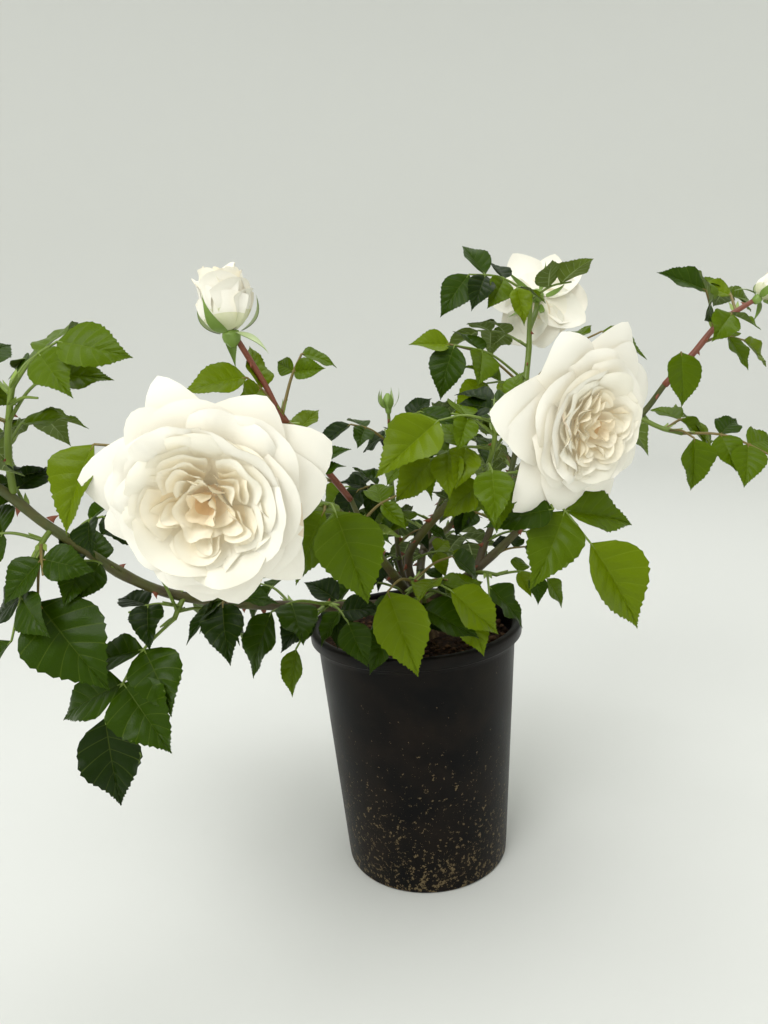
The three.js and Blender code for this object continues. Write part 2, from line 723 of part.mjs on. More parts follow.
// The main body of a solid, lightly simplified; loose scraps and sealed hollows are dropped.
function largestPiece(solid) {
  const pieces = solid.setTolerance(SIMPLIFY).decompose();
  pieces.sort((a, b) => b.volume() - a.volume());
  return pieces[0];
}

// A block less the cutters.
function trimmed(block, cutters) {
  let solid = solidOf(block);
  for (const cutter of cutters) solid = solid.subtract(cutter);
  return largestPiece(solid);
}

function finished(name, geometry, [colour, roughness]) {
  const material = new THREE.MeshStandardMaterial({ color: colour, roughness, metalness: 0 });
  const result = new THREE.Mesh(geometry, material);
  result.name = name;
  return result;
}

function meshOf(name, solid, finish) {
  const mesh = solid.getMesh();
  const geometry = new THREE.BufferGeometry();
  geometry.setAttribute('position', new THREE.Float32BufferAttribute(mesh.vertProperties, 3));
  geometry.setIndex(Array.from(mesh.triVerts));
  const flat = geometry.toNonIndexed();
  flat.computeVertexNormals();
  return finished(name, flat, finish);
}

// ---- pot and soil ----

function turnedMesh(name, profile, finish) {
  const geometry = new THREE.LatheGeometry(profile.map(([r, z]) => new THREE.Vector2(r, z)),
    POT.sides);
  geometry.rotateX(Math.PI / 2);
  return finished(name, geometry, finish);
}

const wallRadius = (height) => (
  POT.footRadius + (POT.neckRadius - POT.footRadius) * height / (POT.height - POT.rimHeight));

// The pot: a floor, a wall that widens upwards and a thicker rolled rim, turned in one piece.
function makePot() {
  const { height, footRadius, neckRadius, rimRadius, floor, footBevel, rimBevel } = POT;
  const neck = height - POT.rimHeight;
  const inner = wallRadius(neck) - POT.wall;
  const profile = [
    [0, 0], [footRadius - footBevel, 0], [footRadius, footBevel], [neckRadius, neck],
    [rimRadius - POT.rimSlope, neck + POT.rimStep], [rimRadius, neck + rimBevel],
    [rimRadius, height - rimBevel], [rimRadius - rimBevel, height],
    [inner + rimBevel, height], [inner, height - rimBevel],
    [wallRadius(floor) - POT.wall, floor], [0, floor],
  ];
  return turnedMesh('pot', profile, FINISH.pot);
}

// The compost that fills the pot to a little below the rim, clear of its wall and floor.
function makeSoil() {
  const radiusAt = (height) => wallRadius(height) - POT.wall - SOIL.inset;
  const profile = [
    [0, SOIL.bottom], [radiusAt(SOIL.bottom), SOIL.bottom], [radiusAt(SOIL.top), SOIL.top],
    [0, SOIL.top],
  ];
  return turnedMesh('soil', profile, FINISH.soil);
}

// ---- the plant ----

function limbBlock(limb, grown) {
  const line = smoothLine(limb.points, STEPS_PER_SPAN);
  if (grown > 0) {
    const last = line.length - 1;
    const ahead = unit(subtract(line[last], line[last - 1]));
    line[last] = add(line[last], scale(ahead, grown));
  }
  const radius = taper(limb.radii);
  return rod(line, (place) => radius(place) + grown, LIMB_SIDES);
}

function trunkBlock(grown) {
  const line = TRUNK.points.map((point) => [...point]);
  if (grown > 0) line[line.length - 1][2] += grown;
  const spans = line.length - 1;
  return rod(line, (place) => TRUNK.radii[Math.round(place * spans)] + grown, TRUNK.sides);
}

// The shoulder of the pot, which no leaf may enter.
function potShoulder() {
  return rod([[0, 0, 0], [0, 0, POT.height - POT.rimHeight], [0, 0, POT.height]],
    (place) => SHOULDER.margin + (place < SHOULDER.neckShare ? POT.footRadius : POT.rimRadius),
    SHOULDER.sides);
}

function growBush(group) {
  const garden = new Garden();
  garden.plant('pot', potShoulder());

  const trunk = trunkBlock(0);
  garden.plant('trunk', trunk);
  group.add(meshOf('trunk', solidOf(trunk), FINISH.trunk));

  const cutters = [solidOf(trunkBlock(GAP))];
  for (const [name, limb] of Object.entries(LIMBS)) {
    const block = limbBlock(limb, 0);
    garden.plant(name, block);
    group.add(meshOf(name, trimmed(block, cutters), FINISH.cane));
    cutters.push(solidOf(limbBlock(limb, GAP)));
  }

  const parts = {};
  for (const [name, spray] of Object.entries(SPRAYS)) {
    const line = smoothLine(spray.points, STEPS_PER_SPAN);
    const stem = rod(line, taper(spray.radii), STEM_SIDES);
    parts[name] = { line, stem, blocks: [] };
    garden.plant(name, stem);
    if (spray.flower) {
      for (const block of flowerBlocks(spray.points.at(-1), spray.flower)) {
        parts[name].blocks.push(block);
        garden.plant(name, block);
      }
    }
  }

  for (const [name, spray] of Object.entries(SPRAYS)) {
    const random = seededRandom(spray.seed);
    for (const [place, ...row] of leafRows(spray, random)) {
      growLeaf(garden, name, parts[name].blocks, onLine(parts[name].line, place), row, random);
    }
  }

  for (const [name, part] of Object.entries(parts)) {
    const others = wasm.Manifold.union(part.blocks.map(solidOf));
    const solid = largestPiece(trimmed(part.stem, cutters).add(others));
    group.add(meshOf(name, solid, SPRAYS[name].flower ? FINISH.bloom : FINISH.leaf));
    const radius = taper(SPRAYS[name].radii);
    cutters.push(solidOf(rod(part.line, (place) => radius(place) + GAP, STEM_SIDES)));
  }
}

// A leaf is left off when its stalk cuts another piece; so is each leaflet that does.
function growLeaf(garden, owner, blocks, base, row, random) {
  const leaf = compoundLeaf(base, row, random);
  const stalkRadius = (grown) => () => STALK_RADIUS + grown;
  if (!garden.isClear(owner, rod(leaf.stalk, stalkRadius(LEAF_CLEARANCE), STALK_SIDES))) return;
  const stalk = rod(leaf.stalk, stalkRadius(0), STALK_SIDES);
  blocks.push(stalk);
  garden.plant(owner, stalk);
  for (const leaflet of leaf.leaflets) {
    if (garden.isClear(owner, leafletBlock(leaflet, LEAF_CLEARANCE))) {
      const block = leafletBlock(leaflet, 0);
      blocks.push(block);
      garden.plant(owner, block);
    }
  }
}

const bush = new THREE.Group();
bush.name = 'rose_bush';
bush.add(makePot());
bush.add(makeSoil());
growBush(bush);

export default bush;
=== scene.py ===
import functools
import math

import bpy
import numpy as np
from mathutils import Matrix, Vector


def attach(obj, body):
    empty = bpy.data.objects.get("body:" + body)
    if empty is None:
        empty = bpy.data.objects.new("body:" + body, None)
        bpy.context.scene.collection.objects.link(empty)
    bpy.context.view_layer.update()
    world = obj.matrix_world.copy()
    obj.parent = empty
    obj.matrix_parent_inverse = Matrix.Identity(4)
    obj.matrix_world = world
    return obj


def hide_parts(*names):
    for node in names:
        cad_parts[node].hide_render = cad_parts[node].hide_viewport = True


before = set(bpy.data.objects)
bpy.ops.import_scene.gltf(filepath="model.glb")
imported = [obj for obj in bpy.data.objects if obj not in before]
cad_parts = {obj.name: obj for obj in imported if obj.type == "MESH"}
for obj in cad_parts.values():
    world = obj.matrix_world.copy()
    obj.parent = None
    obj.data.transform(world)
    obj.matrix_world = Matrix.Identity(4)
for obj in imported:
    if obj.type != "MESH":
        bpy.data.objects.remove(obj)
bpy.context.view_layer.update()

bl_info = {
    "name": "Potted Rose Bush",
    "version": (1, 0, 0),
    "blender": (4, 5, 0),
    "location": "3D View > Sidebar > Rose Bush",
    "description": "Builds a rose bush in a nursery pot: canes, thorns, leaves, blooms and buds",
    "category": "Add Mesh",
}

# Lengths are millimetres and angles degrees until a mesh is made, which is in metres.
MILLIMETRE = 0.001
LEAF_CLEARANCE = 0.5      # a leaf is tested this much larger than the solid leaf it stands for

# Where the seeds of the random streams start: one stream for each kind of detail.
SEEDS = {"trunk": 3, "compost": 5, "thorns": 40, "stalks": 60, "fine_twigs": 90, "canes": 100,
         "cane_relief": 200, "stem_relief": 300, "leaves": 500, "petals": 700, "calyxes": 800}

POT = {"height": 214.0, "foot_radius": 70.3, "neck_radius": 84.2, "rim_radius": 90.0,
       "rim_height": 11.0, "wall": 2.2, "floor": 3.0}
SOIL_TOP = 196.0

# The trunk: a short stem with a root flare below and the swollen bud union on top.
TRUNK = {
    "points": [[3, 0, 196.3], [3, 0, 203], [4, 1, 214], [5, 2, 226], [5, 2, 236]],
    "radii": [19, 14.5, 11.5, 14, 9],
}

# Each limb: its radius at foot and tip, and the middle line it follows.
LIMBS = {
    "cane_left": {
        "radii": [5.2, 3.5],
        "points": [[4, 0, 226], [-30, -30, 239], [-68, -60, 250], [-134, -110, 274],
                   [-181, -135, 297], [-229, -150, 341], [-262, -151, 372], [-285, -150, 385]],
    },
    "cane_front": {
        "radii": [4.6, 3.3],
        "points": [[4, 0, 229], [-12, -46, 262], [-34, -100, 312], [-52, -140, 342]],
    },
    "cane_centre": {
        "radii": [4.8, 3.2],
        "points": [[5, 1, 231], [-1, -12, 252], [-1, -20, 280], [27, -45, 319], [48, -60, 331],
                   [81, -75, 338]],
    },
    "cane_right": {
        "radii": [4.9, 2.8],
        "points": [[6, 2, 228], [30, 0, 241], [55, 0, 255], [87, 10, 279], [125, 8, 315],
                   [161, 5, 349], [193, 0, 376], [209, -10, 400]],
    },
    "cane_back": {
        "radii": [4.6, 3.2],
        "points": [[5, 4, 230], [12, 50, 260], [34, 100, 292], [58, 140, 322]],
    },
    "cane_back_left": {
        "radii": [4.7, 3.3],
        "points": [[3, 4, 229], [-34, 40, 254], [-84, 86, 276], [-132, 120, 296], [-168, 142, 316]],
    },
    "bough_middle": {
        "radii": [3.2, 2.3],
        "points": [[0, 6, 233], [-8, 13, 252], [-11, 16, 277], [-12, 20, 304]],
    },
    "bough_bud": {
        "radii": [3.0, 2.3],
        "points": [[-12, -46, 262], [-25, -54, 284], [-37, -63, 312], [-45, -70, 335]],
    },
    "bough_top": {
        "radii": [3.8, 2.9],
        "points": [[55, 0, 255], [66, 15, 277], [80, 26, 305], [95, 36, 341], [106, 48, 392]],
    },
    "bough_back_right": {
        "radii": [3.6, 2.8],
        "points": [[12, 50, 260], [52, 84, 284], [108, 112, 318], [154, 130, 352]],
    },
}
LIMB_STEPS_PER_SPAN = 2

# Each spray: its stem from limb to last leaf, its radii, its leaves and its flower.
# A leaf row is: place on the stem 0..1, heading and rise of its stalk in degrees, length of
# the stalk, pairs of side leaflets, length of the end leaflet, the turn that leaflet makes
# from the stalk's heading, and its rise.
# "wild" adds leaves by rule: how many, first and last place, stalk length, leaflet length.
SPRAYS = {
    "spray_hero": {
        "points": [[-52, -140, 342], [-82, -180, 358], [-113, -216, 373]],
        "radii": [3.2, 3.0], "seed": 11,
        "flower": {"kind": "bloom", "facing": [-0.05, -0.97, -0.20], "radius": 64, "spin": 20},
        "leaves": [
            [0.08, -79, 8, 34, 0, 64, 40, -68],
            [0.10, -89, 5, 17, 0, 58, -81, -60],
            [0.45, -164, 23, 114, 1, 55, 18, -57],
            [0.30, 95, 30, 42, 2, 40, 10, -25],
            [0.10, 30, -30, 40, 1, 42, 0, -55],
        ],
    },
    "spray_right_bloom": {
        "points": [[81, -75, 338], [97, -84, 362], [113, -97, 386]],
        "radii": [3.1, 2.8], "seed": 12,
        "flower": {"kind": "bloom", "facing": [0.50, -0.83, -0.18], "radius": 68, "spin": 75},
        "leaves": [
            [0.08, -43, -38, 66, 1, 74, 19, -57],
            [0.15, -70, -30, 38, 0, 49, -99, -3],
            [0.35, 30, 10, 45, 2, 44, 10, -30],
            [0.20, 170, -10, 36, 1, 44, 0, -35],
        ],
    },
    "spray_bud": {
        "points": [[-45, -70, 335], [-66, -94, 371], [-84, -115, 401], [-94, -121, 426],
                   [-111, -130, 462]],
        "radii": [2.3, 1.9], "seed": 13,
        "flower": {"kind": "opening", "facing": [-0.10, 0.02, 0.99], "radius": 20, "spin": 10},
        "leaves": [
            [0.50, -142, 50, 38, 1, 47, -19, -3],
            [0.52, 32, 65, 44, 1, 29, -11, -13],
            [0.47, -54, -15, 14, 0, 38, 44, -32],
            [0.30, 120, 20, 46, 2, 38, 0, -25],
            [0.10, -175, 10, 40, 1, 36, 0, -35],
        ],
    },
    "spray_left_high": {
        "points": [[-254, -151, 368], [-253, -152, 393], [-247, -155, 418], [-241, -156, 438]],
        "radii": [2.5, 1.6], "seed": 14,
        "leaves": [
            [0.92, -7, 38, 42, 1, 54, -9, -11],
            [0.75, -24, 9, 24, 0, 80, 5, -13],
            [0.60, 9, 45, 38, 0, 40, -9, -5],
            [0.60, -171, 10, 36, 1, 44, 0, -28],
            [0.85, 165, 40, 40, 1, 42, 0, -10],
            [0.40, 85, 20, 48, 2, 42, 0, -30],
            [0.98, 70, 30, 34, 2, 36, 0, -15],
        ],
    },
    "spray_left_end": {
        "points": [[-285, -150, 385], [-308, -147, 402], [-326, -142, 426], [-336, -138, 452]],
        "radii": [3.4, 1.7], "seed": 15,
        "flower": {"kind": "bud", "facing": [-0.2, 0.05, 0.98], "radius": 6, "spin": 0},
        "leaves": [[0.25, -120, 0, 48, 2, 46, 0, -45]],
        "wild": [4, 0.15, 0.9, 46, 44],
    },
    "spray_left_low": {
        "points": [[-233, -150, 344], [-236, -157, 339], [-238, -163, 334]],
        "radii": [2.0, 1.6], "seed": 16,
        "leaves": [
            [0.80, -102, -71, 36, 0, 79, 71, -46],
            [0.95, -124, -62, 59, 1, 45, -29, -43],
            [0.60, 180, 6, 40, 1, 42, 10, -20],
            [0.80, -70, -30, 28, 1, 44, 10, -60],
        ],
    },
    "spray_left_hanging": {
        "points": [[-160, -124, 287], [-163, -132, 281], [-166, -139, 274]],
        "radii": [2.0, 1.6], "seed": 17,
        "leaves": [
            [0.95, -129, -38, 76, 2, 66, 59, -76],
            [0.70, -158, 69, 39, 0, 48, 29, -66],
            [0.50, -150, 5, 34, 1, 46, 0, -60],
            [0.70, 60, -25, 55, 1, 42, 0, -50],
        ],
    },
    "spray_low_front": {
        "points": [[-62, -55, 248], [-66, -66, 254], [-72, -76, 258]],
        "radii": [2.0, 1.6], "seed": 18,
        "leaves": [
            [0.95, -134, 9, 49, 1, 53, -13, -59],
            [0.70, -160, -24, 79, 0, 44, -6, -63],
            [0.60, -133, -34, 44, 0, 36, 12, -69],
            [0.60, -60, -12, 30, 1, 38, 0, -50],
        ],
    },
    "spray_rim": {
        "points": [[8, -4, 224], [6, -32, 245], [-4, -66, 270]],
        "radii": [2.6, 1.7], "seed": 19,
        "leaves": [
            [0.95, -114, 7, 47, 0, 73, 70, -67],
            [0.80, -86, -23, 52, 1, 64, -83, -10],
            [0.70, -67, 14, 56, 1, 52, 60, -46],
            [0.80, -130, -30, 40, 1, 44, 0, -50],
            [0.45, -118, -8, 48, 1, 50, -30, -8],
            [0.70, -40, -10, 42, 1, 46, 0, -55],
            [0.90, 30, 20, 40, 1, 44, 0, -40],
        ],
        "wild": [4, 0.3, 0.9, 46, 48],
    },
    "spray_centre": {
        "points": [[48, -60, 331], [57, -71, 352], [62, -79, 375], [60, -84, 396]],
        "radii": [2.4, 1.5], "seed": 20,
        "leaves": [
            [0.85, -172, 6, 40, 0, 66, 18, -32],
            [0.95, -26, 35, 26, 1, 34, 10, 10],
            [0.55, -176, -5, 44, 2, 44, 0, -45],
            [0.35, -95, 0, 34, 1, 44, 10, -60],
            [0.75, 80, 35, 40, 2, 40, 0, -20],
            [0.25, -10, 0, 40, 1, 46, 0, -45],
        ],
        "wild": [3, 0.2, 0.8, 44, 46],
    },
    "spray_middle": {
        "points": [[-12, 20, 304], [-13, 14, 338], [-12, 4, 372], [-12, 0, 397]],
        "radii": [2.3, 1.2], "seed": 21,
        "flower": {"kind": "bud", "facing": [0, 0, 1], "radius": 4.6, "spin": 0},
        "leaves": [
            [0.70, -30, 30, 34, 1, 36, 0, -20],
            [0.60, -160, 30, 38, 1, 36, 0, -25],
            [0.20, -135, 10, 40, 2, 38, 0, -40],
            [0.40, 60, 20, 46, 2, 40, 0, -30],
        ],
        "wild": [3, 0.05, 0.6, 44, 44],
    },
    "spray_right_high": {
        "points": [[209, -10, 400], [229, -15, 423], [248, -20, 446], [277, -25, 464]],
        "radii": [2.8, 1.7], "seed": 22,
        "flower": {"kind": "opening", "facing": [0.78, -0.1, 0.62], "radius": 12, "spin": 0},
        "leaves": [
            [0.60, -136, 61, 33, 1, 43, -37, 25],
            [0.70, -100, 10, 24, 1, 34, -40, -30],
            [0.15, -98, 50, 20, 0, 47, 8, -72],
            [0.80, 80, 30, 40, 2, 38, 0, -20],
            [0.45, 20, 0, 42, 1, 38, 0, -40],
        ],
    },
    "spray_right_low": {
        "points": [[193, 0, 374], [207, -8, 366], [222, -15, 361]],
        "radii": [2.2, 1.6], "seed": 23,
        "leaves": [
            [0.95, -22, -16, 70, 2, 43, 7, -28],
            [0.70, -67, -9, 27, 0, 42, -11, -83],
            [0.60, 40, 0, 52, 2, 42, 0, -40],
        ],
    },
    "spray_top": {
        "points": [[106, 48, 392], [113, 56, 425], [116, 60, 455], [118, 62, 482]],
        "radii": [2.9, 1.8], "seed": 24,
        "leaves": [
            [0.15, -153, 26, 79, 1, 49, 4, -61],
            [0.10, -159, 30, 81, 0, 37, -5, 5],
            [0.05, -138, 14, 50, 1, 48, 0, -30],
            [0.05, -32, 35, 84, 1, 44, 24, -30],
            [0.98, -163, 18, 60, 2, 46, 0, -46],
            [0.95, -120, 12, 34, 1, 36, 40, -60],
            [0.92, 0, 20, 38, 2, 46, -24, -65],
            [0.45, 150, 20, 50, 2, 40, 0, -25],
        ],
    },
    "spray_top_bloom": {
        "points": [[116, 60, 452], [124, 72, 466], [128, 82, 478]],
        "radii": [2.4, 2.4], "seed": 25,
        "flower": {"kind": "bloom", "facing": [0.30, 0.75, -0.30], "radius": 44, "spin": 140},
        "leaves": [],
    },
    "spray_low_right": {
        "points": [[50, 0, 252], [60, -8, 254], [70, -14, 253]],
        "radii": [2.0, 1.5], "seed": 26,
        "leaves": [
            [0.95, 6, -10, 44, 2, 32, -20, -60],
            [0.60, -95, -25, 34, 1, 56, 0, -20],
            [0.40, 70, 10, 44, 1, 40, 0, -45],
        ],
    },
    "spray_back": {
        "points": [[58, 140, 322], [64, 158, 344], [66, 172, 368]],
        "radii": [3.1, 1.8], "seed": 27,
        "flower": {"kind": "bud", "facing": [0.1, 0.2, 0.97], "radius": 6, "spin": 0},
        "leaves": [[0.1, 60, -10, 60, 2, 48, 0, -50]],
        "wild": [4, 0.1, 0.9, 52, 46],
    },
    "spray_back_left": {
        "points": [[-168, 142, 316], [-182, 154, 328], [-190, 166, 342]],
        "radii": [3.2, 2.6], "seed": 28,
        "flower": {"kind": "bloom", "facing": [-0.42, 0.85, 0.30], "radius": 54, "spin": 50},
        "leaves": [
            [0.1, 160, -10, 60, 2, 50, 0, -40],
            [0.2, 60, 0, 58, 2, 48, 0, -35],
            [0.1, -100, -10, 56, 2, 46, 0, -50],
        ],
    },
    "spray_back_low": {
        "points": [[-84, 86, 277], [-90, 98, 284], [-96, 108, 288]],
        "radii": [2.2, 1.6], "seed": 29,
        "leaves": [
            [0.9, 95, -25, 74, 2, 54, 0, -60],
            [0.6, 160, -10, 56, 1, 46, 0, -45],
            [0.7, 30, 0, 50, 2, 44, 0, -40],
        ],
    },
    "spray_back_right": {
        "points": [[154, 130, 352], [172, 138, 370], [184, 146, 392]],
        "radii": [2.7, 1.8], "seed": 30,
        "flower": {"kind": "opening", "facing": [0.35, 0.3, 0.88], "radius": 16, "spin": 0},
        "leaves": [[0.1, 90, -20, 64, 2, 52, 0, -50]],
        "wild": [4, 0.1, 0.85, 54, 46],
    },
    "spray_back_base": {
        "points": [[14, 56, 264], [24, 66, 268], [34, 74, 270]],
        "radii": [2.2, 1.6], "seed": 31,
        "leaves": [
            [0.9, 60, -20, 62, 2, 50, 0, -60],
            [0.6, 120, -15, 50, 1, 46, 0, -55],
            [0.8, 0, -5, 50, 2, 44, 0, -45],
        ],
    },
}

# Sizes of the frame's solids, which the rule's crossing test uses too.
STALK_RADIUS = 1.3
STALK_SIDES = 3
STALK_ARCH = 0.10             # how far a leaf stalk bows up, in its own length
STEM_SIDES = 5
LIMB_SIDES = 6
TRUNK_SIDES = 10
PAIR_PLACES = [[], [0.62], [0.44, 0.74], [0.36, 0.6, 0.82]]
PAIR_SIZES = [[], [0.85], [0.82, 0.9], [0.7, 0.8, 0.88]]
SOLID_LEAF = {"half_width": 0.36, "thickness": 1.8, "widest": 0.44, "spread": 66,
              "root_depth": 0.3}
BRANCH_ANGLE = 144            # turn from one leaf to the next up a stem
SUN_DIVIDE = 55               # leaves whose stalks end further back than this face backwards
SUN_PULL = 0.75               # how strongly a leaf's face is turned to the light
# Profiles of a solid bloom and of a solid bud, as radius and height in flower radii.
ROSETTE = [[0.08, -0.06], [0.14, 0.02], [0.5, 0.16], [0.79, 0.38], [0.68, 0.52],
           [0.5, 0.6], [0.28, 0.62], [0.1, 0.5]]
EGG = [[0.28, -0.35], [0.45, -0.08], [0.92, 0.5], [1.0, 1.05], [0.8, 1.6], [0.3, 2.0]]
GUARD_PETALS = {
    "bloom": {"count": 5, "length": 1.08, "half_width": 0.6, "open": [48, 104], "height": 0.0},
    "opening": {"count": 3, "length": 2.0, "half_width": 0.95, "open": [58, 4], "height": -0.1},
    "bud": {"count": 0},
}
GUARD_ROWS = (0.4, 0.85)      # where a solid petal has its two rows between root and lip
GUARD_THICKNESS = 1.6
GUARD_WIDEST = 0.6            # where a solid petal is widest, as a share of its length
POT_BLOCK_SIDES = 24
POT_CLEARANCE = 1             # the pot is tested this much larger than it is
WORD = 0xFFFFFFFF

# Finer twigs on the limbs, of the same rule: the mass they belong to, how many leaves, the
# first and last place on the limb, the length of a stalk and of an end leaflet.
FINE_TWIGS = {
    "cane_centre": ("spray_centre", 4, 0.25, 0.90, 34, 27),
    "cane_back": ("spray_back", 6, 0.25, 0.95, 38, 32),
    "cane_back_left": ("spray_back_low", 6, 0.25, 0.90, 36, 32),
    "bough_middle": ("spray_middle", 4, 0.25, 0.90, 34, 28),
    "bough_back_right": ("spray_back_right", 5, 0.15, 0.90, 36, 30),
    "cane_right": ("spray_back_base", 6, 0.15, 0.85, 36, 28),
    "bough_top": ("spray_top", 5, 0.15, 0.95, 34, 28),
    "cane_left": ("spray_left_low", 9, 0.12, 0.92, 42, 44),
    "cane_front": ("spray_rim", 5, 0.10, 0.85, 46, 42),
}


# ---- small vector arithmetic ----

def vec(*values):
    return np.array(values, float)


def unit(vectors):
    """The same directions with length one."""
    return vectors / np.linalg.norm(vectors, axis=-1, keepdims=True)


def square_to(along, facing):
    """The part of `facing` square to `along`, as a unit direction."""
    return unit(facing - along * np.dot(facing, along))


def angles_round(sides):
    """Equal angles round a turn."""
    return 2 * np.pi * np.arange(sides) / sides


def direction(heading, rise):
    """The direction with a compass heading from +X and a rise above level, in degrees."""
    level = math.cos(math.radians(rise))
    return vec(level * math.cos(math.radians(heading)), level * math.sin(math.radians(heading)),
               math.sin(math.radians(rise)))


def seeded_random(seed):
    """A repeatable stream of numbers from 0 to 1."""
    state = seed

    def draw():
        nonlocal state
        state = (state + 0x6D2B79F5) & WORD
        mixed = (state ^ (state >> 15)) * (1 | state) & WORD
        mixed = (mixed + ((mixed ^ (mixed >> 7)) * (61 | mixed) & WORD) & WORD) ^ mixed
        return ((mixed ^ (mixed >> 14)) & WORD) / 4294967296

    return draw


# ---- curves ----

def on_curve(points, place):
    """Point at `place` from 0 to 1 on the smooth curve through `points`: between two points it
    is the cubic whose slopes there are half the way from the point before to the one after."""
    points = np.asarray(points, float)
    spans = len(points) - 1
    span = min(int(place * spans), spans - 1)
    t = place * spans - span
    p1, p2 = points[span], points[span + 1]
    p0 = points[span - 1] if span > 0 else 2 * p1 - p2
    p3 = points[span + 2] if span < spans - 1 else 2 * p2 - p1
    return 0.5 * (2 * p1 + (p2 - p0) * t + (2 * p0 - 5 * p1 + 4 * p2 - p3) * t * t
                  + (3 * p1 - p0 - 3 * p2 + p3) * t * t * t)


def on_line(points, place):
    """Point at `place` from 0 to 1 on the jointed line through `points`."""
    spans = len(points) - 1
    span = min(int(place * spans), spans - 1)
    share = place * spans - span
    return points[span] * (1 - share) + points[span + 1] * share


def smooth_line(points, steps_per_span):
    """Points laid evenly along the smooth curve, a number of them in each span."""
    steps = (len(points) - 1) * steps_per_span
    return np.array([on_curve(points, step / steps) for step in range(steps + 1)])


# ---- the rule that the bush grows by ----

def across_line(line):
    """For each point of a line, its direction and two directions square to it, carried on
    from one point to the next without twisting."""
    along = unit(line[np.minimum(np.arange(len(line)) + 1, len(line) - 1)]
                 - line[np.maximum(np.arange(len(line)) - 1, 0)])
    guide = vec(1, 0, 0) if abs(along[0][2]) > 0.9 else vec(0, 0, 1)
    across = np.empty_like(along)
    for step, ahead in enumerate(along):
        guide = square_to(ahead, guide)
        across[step] = guide
    return along, across, np.cross(along, across)


def rod_block(line, radii, sides):
    """A closed rod along a jointed line: rings of points joined in order, a cap on each end."""
    line = np.asarray(line, float)
    along, across, other = across_line(line)
    angle = angles_round(sides)
    radii = np.asarray(radii, float)[:, None, None]
    points = (line[:, None] + radii * (across[:, None] * np.cos(angle)[None, :, None]
                                       + other[:, None] * np.sin(angle)[None, :, None]))
    return ring_block(points)


def ring_block(rings):
    """Rings of equal count joined in order, with a flat cap on each end."""
    count, sides = rings.shape[:2]
    faces = grid_faces(count, sides, closed=True)
    side = np.arange(1, sides - 1)
    last = (count - 1) * sides
    foot = np.stack([np.zeros_like(side), side + 1, side], 1)
    tip = np.stack([np.full_like(side, last), last + side, last + side + 1], 1)
    return rings.reshape(-1, 3), np.concatenate([faces, foot, tip])


def grid_faces(rows, columns, closed=False):
    """Triangles of a grid of points numbered row by row; `closed` joins the last column to
    the first."""
    row = np.arange(rows - 1)[:, None]
    column = np.arange(columns if closed else columns - 1)[None, :]
    following = (column + 1) % columns
    a, b = row * columns + column, row * columns + following
    c, d = b + columns, a + columns
    return np.stack([np.stack([a, b, c], -1), np.stack([a, c, d], -1)], 2).reshape(-1, 3)


def blade_block(rows, under):
    """A thin closed blade of points from a single root to a single tip."""
    points = [point for row in rows for point in row]
    starts = np.cumsum([0] + [len(row) for row in rows])
    front = [list(range(starts[r], starts[r + 1])) for r in range(len(rows))]
    back = []
    for r, row in enumerate(front):
        kept = list(row)
        for i in range(1, len(row) - 1):
            kept[i] = len(points)
            points.append(under[r][i])
        back.append(kept)
    faces = []
    for grid, turned in ((front, False), (back, True)):
        last = len(grid) - 1
        skin = []
        for i in range(len(grid[1]) - 1):
            skin.append([grid[0][0], grid[1][i], grid[1][i + 1]])
            skin.append([grid[last - 1][i], grid[last][0], grid[last - 1][i + 1]])
        for r in range(1, last - 1):
            for i in range(len(grid[r]) - 1):
                skin.append([grid[r][i], grid[r + 1][i], grid[r + 1][i + 1]])
                skin.append([grid[r][i], grid[r + 1][i + 1], grid[r][i + 1]])
        faces += [[a, c, b] if turned else [a, b, c] for a, b, c in skin]
    return np.array(points), np.array(faces)


def solid_leaflet(leaflet, grown):
    """The plain closed leaflet that the crossing test uses."""
    forward, side, normal = leaflet["forward"], leaflet["side"], leaflet["normal"]
    start = leaflet["root"] - forward * SOLID_LEAF["root_depth"]
    reach = leaflet["length"] + SOLID_LEAF["root_depth"] + grown

    def midrib(x):
        return start + forward * reach * x + normal * (grown - leaflet["curl"] * reach * x * x)

    half = SOLID_LEAF["half_width"] * leaflet["width"] * leaflet["length"] + grown
    widest = midrib(SOLID_LEAF["widest"])
    edges = [widest + side * hand * half * math.cos(leaflet["fold"])
             + normal * half * math.sin(leaflet["fold"]) for hand in (-1, 1)]
    under = widest - normal * (SOLID_LEAF["thickness"] + 2 * grown)
    rows = [[midrib(0)], [edges[0], widest, edges[1]], [midrib(1)]]
    return blade_block(rows, [[], [None, under, None], []])


def sunward(point):
    """Leaves turn their faces out and up, to the front or to the back of the bush."""
    return unit(vec(0.3 * np.sign(point[0]), -1 if point[1] < SUN_DIVIDE else 1, 0.75))


def leaflet_at(root, forward, up, length, random):
    """A leaflet growing from `root` along `forward`, its upper face turned towards `up`."""
    normal = square_to(forward, up)
    return {
        "root": root, "forward": forward, "normal": normal, "side": np.cross(normal, forward),
        "length": length * (0.94 + 0.12 * random()),
        "width": 0.94 + 0.14 * random(),
        "fold": math.radians(4 + 14 * random()),
        "curl": 0.05 + 0.12 * random(),
    }


